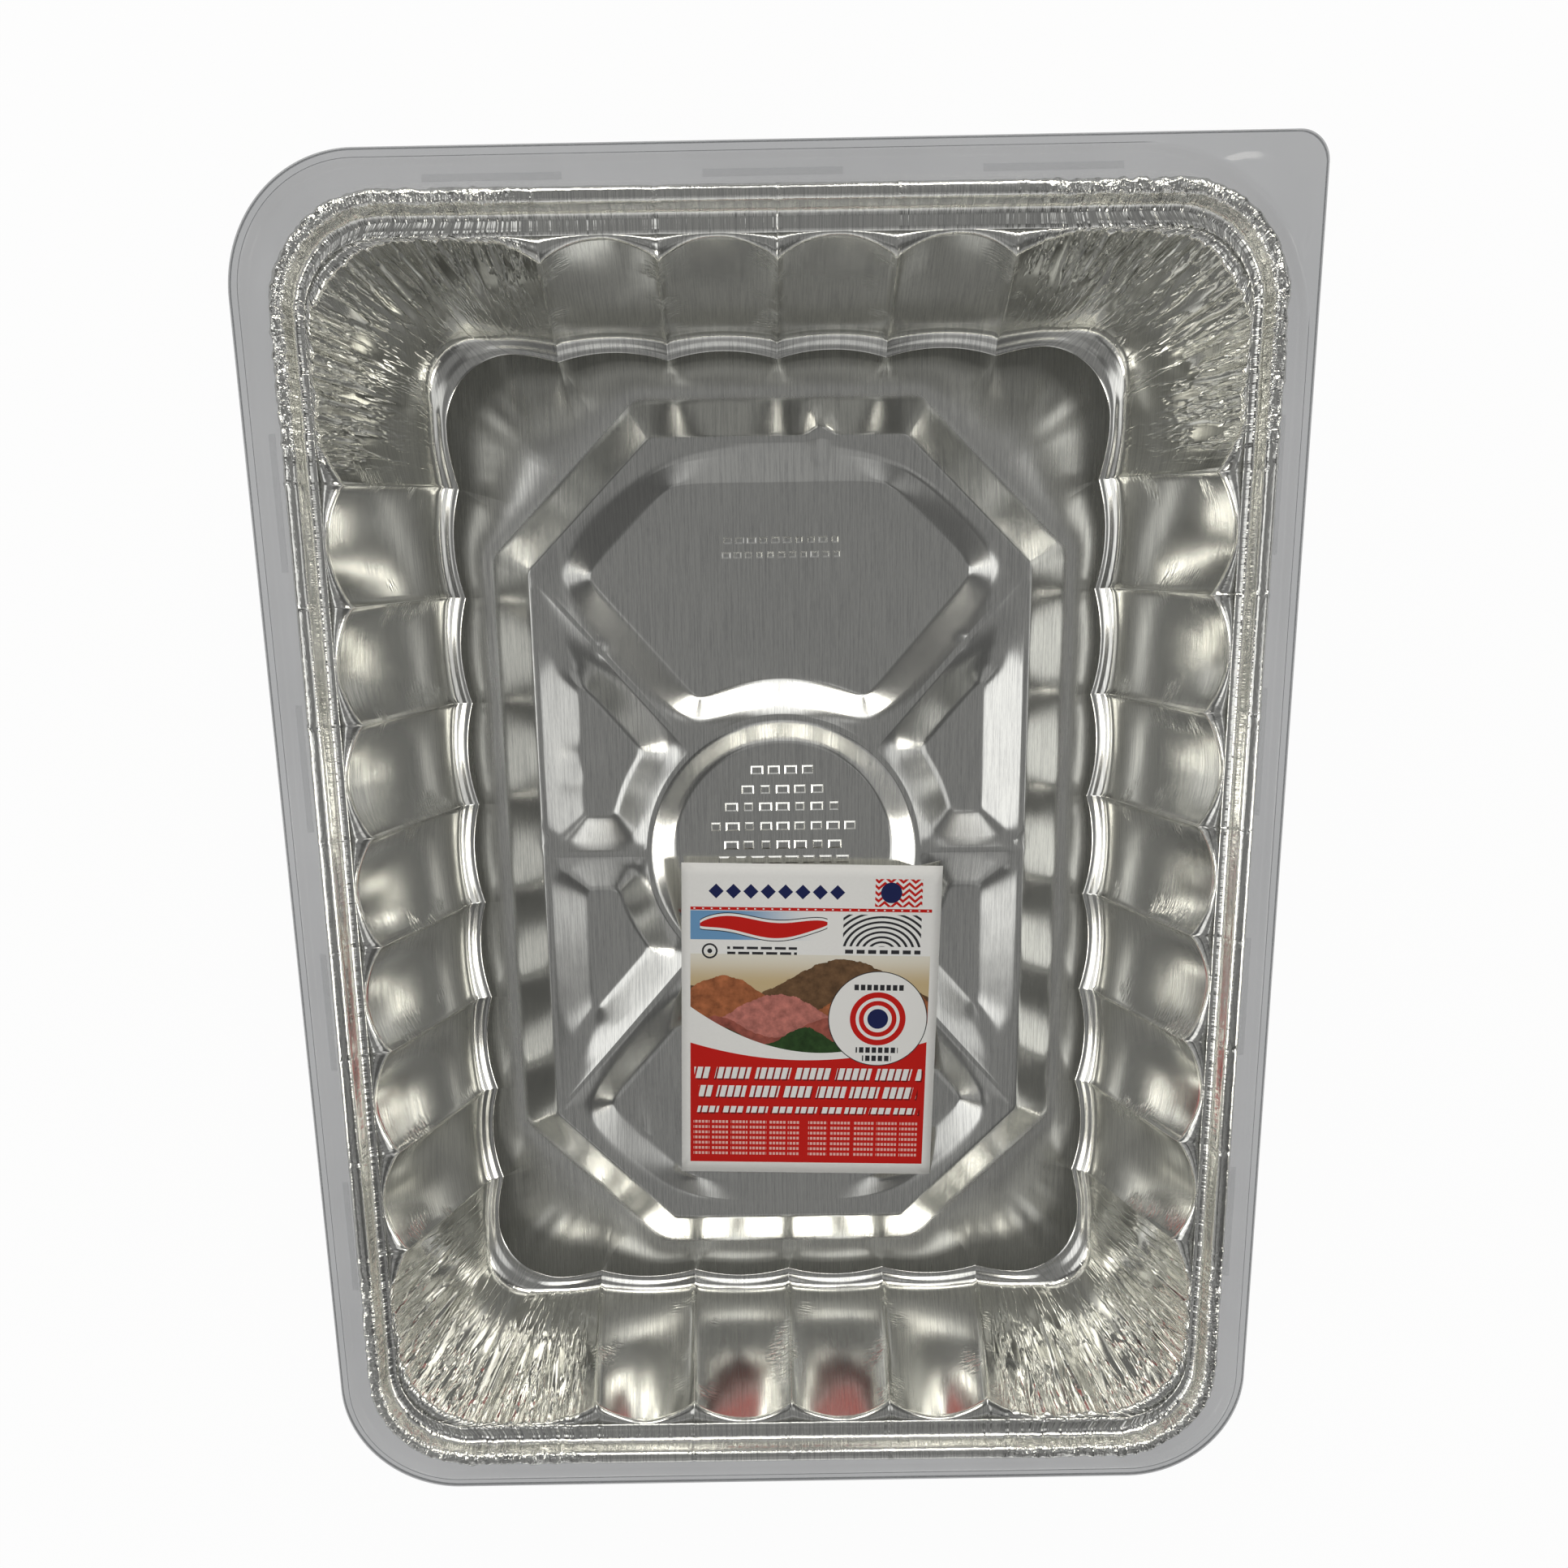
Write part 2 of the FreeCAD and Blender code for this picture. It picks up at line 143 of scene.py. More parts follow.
@dataclass
class Sheet:
    """A formed sheet, gathered as rings of points and the faces between them."""

    name: str
    thickness: float
    points: list[np.ndarray] = field(default_factory=list)
    blank: list[np.ndarray] = field(default_factory=list)
    around: list[np.ndarray] = field(default_factory=list)
    marks: list[np.ndarray] = field(default_factory=list)
    faces: list[tuple[int, ...]] = field(default_factory=list)
    edge: np.ndarray | None = None
    inner_edge: np.ndarray | None = None
    count: int = 0

    def ring(self, points: np.ndarray, blank: np.ndarray | None = None,
             around: np.ndarray | None = None, marks: np.ndarray | None = None) -> np.ndarray:
        """Adds a closed ring.

        Args:
            points: Its points, one row each.
            blank: Where each point was on the flat blank.
            around: Distance round the rim and down the wall.
            marks: How gathered, crumpled and crimped the sheet is at each point.

        Returns:
            Numbers of the new points.
        """
        total = len(points)
        self.points.append(points)
        self.blank.append(points[:, :2] if blank is None else blank)
        self.around.append(np.zeros((total, 2)) if around is None else around)
        self.marks.append(np.zeros((total, len(MARKS))) if marks is None else marks)
        self.count += total
        return np.arange(self.count - total, self.count)

    def bridge(self, inner: np.ndarray, outer: np.ndarray) -> None:
        """Joins two rings of equal count by quads.

        Args:
            inner: Numbers of the inner ring, anticlockwise from above.
            outer: Numbers of the outer ring.
        """
        following = np.roll(inner, -1), np.roll(outer, -1)
        rows = np.stack([inner, outer, following[1], following[0]], axis=1)
        self.faces.extend(map(tuple, rows.tolist()))

    def bridge_all(self, rings: list[np.ndarray]) -> None:
        """Joins rings in order, given from the outside in."""
        for outer, inner in zip(rings, rings[1:]):
            self.bridge(inner, outer)

    def fill(self, outer: np.ndarray, holes: list[np.ndarray]) -> None:
        """Fills the flat between a ring and the rings inside it.

        Args:
            outer: Numbers of the outer ring.
            holes: Numbers of each inner ring.
        """
        loops = [outer] + holes
        places = np.concatenate(self.points)
        numbers = np.concatenate(loops)
        flat = [Vector(p) for p in places[numbers, :2]]
        edges, start = [], 0
        for loop in loops:
            total = len(loop)
            edges += [(start + i, start + (i + 1) % total) for i in range(total)]
            start += total
        found = geometry.delaunay_2d_cdt(flat, edges, [], 1, 1e-6)
        origin = np.array([source[0] for source in found[3]])
        corners = numbers[origin[np.array(found[2])]]
        a, b, c = (places[corners[:, column], :2] for column in range(3))
        turn = np.cross(b - a, c - a)
        corners[turn < 0] = corners[turn < 0][:, ::-1]
        kept = self.encloses(places[outer, :2], (a + b + c) / 3)
        for hole in holes:
            kept &= ~self.encloses(places[hole, :2], (a + b + c) / 3)
        self.faces.extend(map(tuple, corners[kept].tolist()))

    @staticmethod
    def encloses(loop: np.ndarray, points: np.ndarray) -> np.ndarray:
        """Whether a closed loop goes round each point.

        Args:
            loop: The loop's points.
            points: The points to test.

        Returns:
            One truth for each point.
        """
        start, goal = loop[None], np.roll(loop, -1, axis=0)[None]
        place = points[:, None]
        spans = (start[..., 1] > place[..., 1]) != (goal[..., 1] > place[..., 1])
        rise = np.where(spans, goal[..., 1] - start[..., 1], 1.0)
        cross = start[..., 0] + (place[..., 1] - start[..., 1]) / rise * (goal - start)[..., 0]
        return np.sum(spans & (place[..., 0] < cross), axis=1) % 2 == 1

    def normals(self, points: np.ndarray, faces: list[tuple[int, ...]]) -> np.ndarray:
        """Normals of the points, weighted by area.

        Args:
            points: The points.
            faces: The faces between them.

        Returns:
            One unit row for each point.
        """
        total = np.zeros_like(points)
        for size in (3, 4):
            rows = np.array([f for f in faces if len(f) == size])
            if len(rows):
                cross = np.cross(points[rows[:, size // 2]] - points[rows[:, 0]],
                                 points[rows[:, -1]] - points[rows[:, 1]])
                for column in range(size):
                    np.add.at(total, rows[:, column], cross)
        length = np.linalg.norm(total, axis=1, keepdims=True)
        return total / np.maximum(length, 1e-12)

    def build(self, place: Matrix) -> bpy.types.Object:
        """Gives the sheet its thickness and makes the object.

        Args:
            place: Where the sheet goes, in metres.

        Returns:
            The new object, at the origin.
        """
        points = np.concatenate(self.points)
        blank = np.concatenate(self.blank)
        around = np.concatenate(self.around)
        marks = np.concatenate(self.marks)
        under = points - self.normals(points, self.faces) * self.thickness
        shift = len(points)
        faces = self.faces + [tuple(v + shift for v in reversed(f)) for f in self.faces]
        for edge, column in ((self.edge, 1), (self.inner_edge, -1)):
            if edge is not None:
                following = np.roll(edge, -1)
                rows = np.stack([edge, edge + shift, following + shift, following], axis=1)
                faces += map(tuple, rows[:, ::column].tolist())
        both = np.concatenate([points, under]) * MM
        both = both @ np.array(place.to_3x3()).T + np.array(place.translation)
        mesh = bpy.data.meshes.new(self.name)
        mesh.from_pydata(both.tolist(), [], faces)
        corners = np.zeros(len(mesh.loops), int)
        mesh.loops.foreach_get("vertex_index", corners)
        source = corners % shift
        reach = np.ptp(around[:, 0])
        for title, rows in (("blank", blank[source]), ("around", around[source])):
            if title == "around":
                rows = self.unwrapped(mesh, rows, reach)
            layer = mesh.uv_layers.new(name=title)
            layer.data.foreach_set("uv", (rows * MM).astype(np.float32).ravel())
        for title, values in zip(MARKS, marks.T):
            held = mesh.attributes.new(title, "FLOAT", "POINT")
            held.data.foreach_set("value", np.tile(values, 2).astype(np.float32))
        mesh.shade_smooth()
        made = bpy.data.objects.new(self.name, mesh)
        bpy.context.scene.collection.objects.link(made)
        return made

    def unwrapped(self, mesh: bpy.types.Mesh, rows: np.ndarray, reach: float) -> np.ndarray:
        """Carries the faces that cross the seam past the end, not back to the start.

        Args:
            mesh: The mesh.
            rows: Coordinates of its corners.
            reach: Length of the whole way round.

        Returns:
            The mended coordinates.
        """
        rows = rows.copy()
        start = np.zeros(len(mesh.polygons), int)
        total = np.zeros(len(mesh.polygons), int)
        mesh.polygons.foreach_get("loop_start", start)
        mesh.polygons.foreach_get("loop_total", total)
        low = np.minimum.reduceat(rows[:, 0], start)
        high = np.maximum.reduceat(rows[:, 0], start)
        for index in np.flatnonzero(high - low > reach / 2):
            part = slice(start[index], start[index] + total[index])
            rows[part, 0] += np.where(rows[part, 0] < low[index] + reach / 2, reach, 0)
        return rows


@dataclass(frozen=True)
class Row:
    """Raised blocks with sloped sides in a row, laid out by Geometry Nodes."""

    count: int
    start: tuple[float, float, float]
    step: tuple[float, float, float]
    size: tuple[float, float, float]
    taper: float
    shortest: float
    seed: int

    INPUTS = (("Count", "NodeSocketInt"), ("Start", "NodeSocketVector"),
              ("Step", "NodeSocketVector"), ("Size", "NodeSocketVector"),
              ("Taper", "NodeSocketFloat"), ("Shortest", "NodeSocketVector"),
              ("Seed", "NodeSocketInt"), ("Material", "NodeSocketMaterial"))

    @classmethod
    def tree(cls) -> bpy.types.NodeTree:
        """The shared node tree.

        Returns:
            The tree, which is built when it is first asked for.
        """
        held = bpy.data.node_groups.get("row_of_blocks")
        if held is not None:
            return held
        tree = bpy.data.node_groups.new("row_of_blocks", "GeometryNodeTree")
        for title, kind in cls.INPUTS:
            tree.interface.new_socket(title, in_out="INPUT", socket_type=kind)
        tree.interface.new_socket("Geometry", in_out="OUTPUT", socket_type="NodeSocketGeometry")
        board = Board(tree)
        given = board.node("NodeGroupInput", {}, {}, "Count").socket.node
        value = {title: Signal(board, given.outputs[title]) for title, _ in cls.INPUTS}
        line = board.node("GeometryNodeMeshLine", {"mode": "OFFSET"},
                          {"Count": value["Count"], "Start Location": value["Start"],
                           "Offset": value["Step"]})
        cube = board.node("GeometryNodeMeshCube", {}, {"Size": value["Size"]})
        x, y, z = board.split(board.node("GeometryNodeInputPosition", {}, {}))
        inward = value["Taper"] * -1.0
        slip = board.node("ShaderNodeCombineXYZ", {}, {0: x.math("SIGN") * inward,
                                                       1: y.math("SIGN") * inward})
        block = board.node("GeometryNodeSetPosition", {}, {"Geometry": cube, "Selection": z > 0.0,
                                                           "Offset": slip})
        scale = board.node("FunctionNodeRandomValue", {"data_type": "FLOAT_VECTOR"},
                           {0: value["Shortest"], 1: (1.0, 1.0, 1.0), "Seed": value["Seed"]})
        placed = board.node("GeometryNodeInstanceOnPoints", {},
                            {"Points": line, "Instance": block, "Scale": scale})
        real = board.node("GeometryNodeRealizeInstances", {}, {0: placed})
        done = board.node("GeometryNodeSetMaterial", {}, {"Geometry": real,
                                                          "Material": value["Material"]})
        end = tree.nodes.new("NodeGroupOutput")
        tree.links.new(done.socket, end.inputs["Geometry"])
        return tree

    def build(self, name: str, place: Matrix, finish: bpy.types.Material) -> bpy.types.Object:
        """Makes the row as a plain mesh.

        Args:
            name: Name of the piece.
            place: Where the row's frame lies, in metres.
            finish: Its material.

        Returns:
            The new object, at the origin.
        """
        tree = self.tree()
        source = bpy.data.objects.new("row_source", bpy.data.meshes.new("row_source"))
        bpy.context.scene.collection.objects.link(source)
        modifier = source.modifiers.new("row", "NODES")
        modifier.node_group = tree
        given = (self.count, [v * MM for v in self.start], [v * MM for v in self.step],
                 [v * MM for v in self.size], self.taper * MM, [self.shortest, 1.0, 1.0],
                 self.seed, finish)
        sockets = {item.name: item.identifier for item in tree.interface.items_tree
                   if item.in_out == "INPUT"}
        for (title, _), content in zip(self.INPUTS, given):
            modifier[sockets[title]] = content
        graph = bpy.context.evaluated_depsgraph_get()
        mesh = bpy.data.meshes.new_from_object(source.evaluated_get(graph), depsgraph=graph)
        bpy.data.objects.remove(source)
        mesh.name = name
        mesh.transform(place)
        flat = np.zeros(len(mesh.vertices) * 3)
        mesh.vertices.foreach_get("co", flat)
        corners = np.zeros(len(mesh.loops), int)
        mesh.loops.foreach_get("vertex_index", corners)
        plan = flat.reshape(-1, 3)[corners, :2].astype(np.float32)
        for title, share in (("blank", 1.0), ("around", 0.0)):
            mesh.uv_layers.new(name=title).data.foreach_set("uv", (plan * share).ravel())
        made = bpy.data.objects.new(name, mesh)
        bpy.context.scene.collection.objects.link(made)
        return made


@dataclass(frozen=True)
class WallLevel:
    """The pan's wall at one height: creases at the half sizes, flutes swelling past them."""

    half_x: float
    half_y: float
    pitch_side: float
    pitch_end: float
    bulge: float
    radius: float
    z: float

    def blend(self, other: "WallLevel", share: float) -> "WallLevel":
        """A level between this one and the other."""
        pairs = zip(self.row(), other.row())
        return WallLevel(*(a * (1 - share) + b * share for a, b in pairs))

    def at(self, z: float) -> "WallLevel":
        """The same outline at another height."""
        return WallLevel(*self.row()[:-1], z)

    def row(self) -> tuple[float, ...]:
        """The sizes in order."""
        return (self.half_x, self.half_y, self.pitch_side, self.pitch_end, self.bulge,
                self.radius, self.z)


@dataclass(frozen=True)
class Hoop:
    """One ring of the wall: its outline, its depth and how far its creases sag.

    The depth is a share of the wall, from nought at the ledge to one at the foot. Rings
    above the wall have the negative depths named here.
    """

    level: WallLevel
    depth: float
    sag: float = 0.0

    BEAD = -2.0
    BAND = -1.0
    LEDGE = -0.7
    LEDGE_EDGE = -0.4
    BROW = -0.15


@dataclass(frozen=True)
class FoldKind:
    """Folds of one kind in a corner, by the ranges that each fold is drawn from."""

    gap: tuple[float, float]
    size: tuple[float, float]
    length: tuple[float, float]
    width: float


@dataclass
class WallGrid:
    """The foil between the bead and the floor: rings by stations, and what is done to it."""

    depth: np.ndarray
    along: np.ndarray
    swell: np.ndarray
    height: np.ndarray
    pushed: np.ndarray
    gather: np.ndarray

    @property
    def share(self) -> np.ndarray:
        """Depth of each ring below the ledge, from nought to one."""
        return np.clip(self.depth, 0, 1)

    @property
    def creased(self) -> np.ndarray:
        """One at a crease between two flutes and nought away from it and in the corners."""
        return np.clip(1 - np.abs(self.swell) * 6, 0, 1) * (1 - self.gather)

    @property
    def loose(self) -> np.ndarray:
        """How unevenly the rim is rolled at each station."""
        return 0.16 + 0.84 * self.gather + 0.5 * self.creased

    def places(self) -> tuple[np.ndarray, np.ndarray]:
        """Distance round and distance down for every ring and station.

        Returns:
            Both distances, rings by stations.
        """
        down = np.tile(self.share[:, None] * 62, len(self.along))
        return np.broadcast_to(self.along, self.pushed.shape), down

    def marks(self, index: int) -> np.ndarray:
        """How gathered, crumpled and crimped one ring is.

        Args:
            index: Number of the ring.

        Returns:
            One row for each station.
        """
        depth = self.depth[index]
        return np.column_stack([
            self.gather * np.interp(depth, [Hoop.BEAD, -0.2, 0.3, 1.0, 1.04], [1, 1, 1, 0.3, 0]),
            np.clip(1.2 - self.swell * 1.5, 0, 1) * (1 - self.gather)
            * np.interp(depth, [-0.2, 0.1, 0.85, 1.0], [0, 1, 1, 0]),
            self.loose * (depth < -1.5)])


@dataclass(frozen=True)
class Perimeter:
    """Stations round the pan, the same at every height."""

    flutes_side: int = 7
    flutes_end: int = 4
    per_flute: int = 24
    per_straight: int = 78
    per_arc: int = 124
    ease: float = 18.0
    ease_share: float = 0.14

    def flute_run(self, flutes: int, pitch: float, bulge: float) -> tuple[np.ndarray, np.ndarray]:
        """A row of flutes.

        Args:
            flutes: How many.
            pitch: Width of one.
            bulge: How far each swells out.

        Returns:
            Distance along the row and distance out of it.
        """
        share = 0.5 - 0.5 * np.cos(math.pi * np.arange(self.per_flute) / self.per_flute)
        bulge = max(bulge, 1e-3)
        radius = (pitch * pitch / 4 + bulge * bulge) / (2 * bulge)
        half = math.asin(pitch / 2 / radius)
        turn = (share * 2 - 1) * half
        along = pitch / 2 + radius * np.sin(turn)
        out = radius * np.cos(turn) - (radius - bulge)
        starts = (np.arange(flutes) - flutes / 2) * pitch
        return (starts[:, None] + along).ravel(), np.tile(out, flutes)

    def corner(self, level: WallLevel) -> tuple[np.ndarray, np.ndarray]:
        """The corner from the side's last crease to the end's first, both held.

        Args:
            level: The wall's sizes at this height.

        Returns:
            Points and outward normals.
        """
        crease_x = level.pitch_end * self.flutes_end / 2
        crease_y = level.pitch_side * self.flutes_side / 2
        reach_x, reach_y = level.half_x + level.bulge, level.half_y + level.bulge
        run_side = reach_y - level.radius - crease_y
        run_end = reach_x - level.radius - crease_x
        arc = level.radius * math.pi / 2
        share = np.arange(self.per_straight) / self.per_straight
        turn = np.arange(self.per_arc) / self.per_arc * math.pi / 2
        last = np.arange(self.per_straight + 1) / self.per_straight
        along = np.concatenate([run_side * share, run_side + level.radius * turn,
                                run_side + arc + run_end * last])
        angle = np.clip((along - run_side) / level.radius, 0, math.pi / 2)
        normal = np.stack([np.cos(angle), np.sin(angle)], axis=1)
        centre = np.array([reach_x - level.radius, reach_y - level.radius])
        points = centre + normal * level.radius
        points[:, 1] -= np.maximum(run_side - along, 0)
        points[:, 0] -= np.maximum(along - run_side - arc, 0)
        total = along[-1]
        near = np.minimum(1, np.minimum(along, total - along) / self.ease)
        swell = level.bulge * (np.sin(math.pi / 2 * near) - 1)
        return points + normal * swell[:, None], normal

    def ring(self, level: WallLevel) -> tuple[np.ndarray, np.ndarray]:
        """All stations at one height.

        Args:
            level: The wall's sizes there.

        Returns:
            Points and outward normals, anticlockwise from the side's first crease.
        """
        side, side_out = self.flute_run(self.flutes_side, level.pitch_side, level.bulge)
        end, end_out = self.flute_run(self.flutes_end, level.pitch_end, level.bulge)
        corner, normal = self.corner(level)
        side_points = np.stack([level.half_x + side_out, side], axis=1)
        end_points = np.stack([-end, level.half_y + end_out], axis=1)
        side_normal = np.tile([1.0, 0.0], (len(side), 1))
        end_normal = np.tile([0.0, 1.0], (len(end), 1))
        points, normals = [], []
        for sign in (1, -1):
            points += [sign * side_points, sign * corner[:-1],
                       sign * end_points, (corner * [-sign, sign])[::-1][:-1]]
            normals += [sign * side_normal, sign * normal[:-1],
                        sign * end_normal, (normal * [-sign, sign])[::-1][:-1]]
        return np.concatenate(points), np.concatenate(normals)

    def swell(self) -> np.ndarray:
        """How far each station stands between a crease and a crest.

        Returns:
            Nought at a crease and one at a crest, for each station.
        """
        turn = np.arange(self.per_flute) / self.per_flute
        flute = 1 - np.cos(math.pi * turn) ** 2
        count = 2 * self.per_straight + self.per_arc
        place = np.arange(count) / count
        near = np.minimum(1, np.minimum(place, 1 - place) / self.ease_share)
        corner = np.sin(math.pi / 2 * near)
        side, end = np.tile(flute, self.flutes_side), np.tile(flute, self.flutes_end)
        return np.concatenate([side, corner, end, corner] * 2)

    def corners(self) -> list[slice]:
        """Where each corner's stations are.

        Returns:
            One slice for each corner, in order round the pan.
        """
        side, end = self.flutes_side * self.per_flute, self.flutes_end * self.per_flute
        length = 2 * self.per_straight + self.per_arc
        starts = (side, side + length + end, 2 * side + 2 * length + end,
                  2 * side + 3 * length + 2 * end)
        return [slice(start, start + length) for start in starts]


@dataclass(frozen=True)
class Outline:
    """Polygon with rounded corners, given by its sides' outward normals and reaches."""

    sides: tuple[tuple[float, float], ...]
    per_side: int = 56
    per_corner: int = 10

    def ring(self, grow: float, radius: float) -> np.ndarray:
        """The outline grown or drawn in.

        Args:
            grow: How far each side moves outward.
            radius: Radius of its corners.

        Returns:
            Its points.
        """
        rounds = []
        for (a, c), (b, d) in zip(self.sides, self.sides[1:] + self.sides[:1]):
            c, d = c + grow - radius, d + grow - radius
            spread = math.sin(b - a)
            centre = np.array([(c * math.sin(b) - d * math.sin(a)) / spread,
                               (d * math.cos(a) - c * math.cos(b)) / spread])
            turn = a + ((b - a) % TAU) * np.linspace(0, 1, self.per_corner)
            rounds.append(centre + radius * np.stack([np.cos(turn), np.sin(turn)], axis=1))
        points = []
        share = np.arange(1, self.per_side)[:, None] / self.per_side
        for arc, following in zip(rounds, rounds[1:] + rounds[:1]):
            points += [arc, arc[-1] * (1 - share) + following[0] * share]
        return np.concatenate(points)


@dataclass(frozen=True)
class Pocket:
    """Sunk window of the rack, between straight ribs and the ring."""

    sides: tuple[tuple[float, float], ...]
    ring_reach: float
    centre: tuple[float, float]
    stations: int
    ease_top: float = 0.6
    ease_middle: float = 8.0
    ease_foot: float = 1.2
    run: float = 13.0
    shelf: tuple[float, float, float] | None = None

    MIX = ((0, 0.05, 0.13, 0.5, 0.8, 1.0), (0, 0.55, 1.0, 0.62, 0.27, 0))
    FAR = 140.0
    HALVINGS = 40

    def inside(self, points: np.ndarray, ease: float) -> np.ndarray:
        """Eased distance inside the pocket's edges.

        Args:
            points: Places to measure.
            ease: How much its corners are rounded.

        Returns:
            The distances.
        """
        rows = [reach - points[:, 0] * math.cos(turn) - points[:, 1] * math.sin(turn)
                for turn, reach in self.sides]
        rows.append(np.hypot(points[:, 0], points[:, 1]) - self.ring_reach)
        if self.shelf is not None:
            low, high, lean = self.shelf
            rows.append(np.logaddexp(low - points[:, 1], (high - points[:, 1]) * lean))
        return -ease * np.logaddexp.reduce([-row / ease for row in rows])

    def level(self, depth: float, turns: np.ndarray) -> np.ndarray:
        """Points at one distance inside, on rays from the centre.

        Args:
            depth: The distance.
            turns: Directions of the rays.

        Returns:
            The points.
        """
        share = min(1.0, max(0.0, depth / self.run))
        mixed = np.interp(share, *self.MIX)
        edge = self.ease_top + (self.ease_foot - self.ease_top) * share
        ease = edge + (self.ease_middle - edge) * mixed
        ray = np.stack([np.cos(turns), np.sin(turns)], axis=1)
        low, high = np.zeros(len(turns)), np.full(len(turns), self.FAR)
        for _ in range(self.HALVINGS):
            middle = (low + high) / 2
            far = self.inside(np.array(self.centre) + ray * middle[:, None], ease) > depth
            low, high = np.where(far, middle, low), np.where(far, high, middle)
        return np.array(self.centre) + ray * low[:, None]

    def rays(self) -> np.ndarray:
        """Directions that space the stations evenly about half way down.

        Returns:
            One angle for each station.
        """
        fine = np.linspace(0, TAU, 4001)
        points = self.level(self.run * 0.6, fine)
        step = np.hypot(*np.diff(points, axis=0).T)
        along = np.concatenate([[0], np.cumsum(step)])
        return np.interp(np.arange(self.stations) / self.stations * along[-1], along, fine)


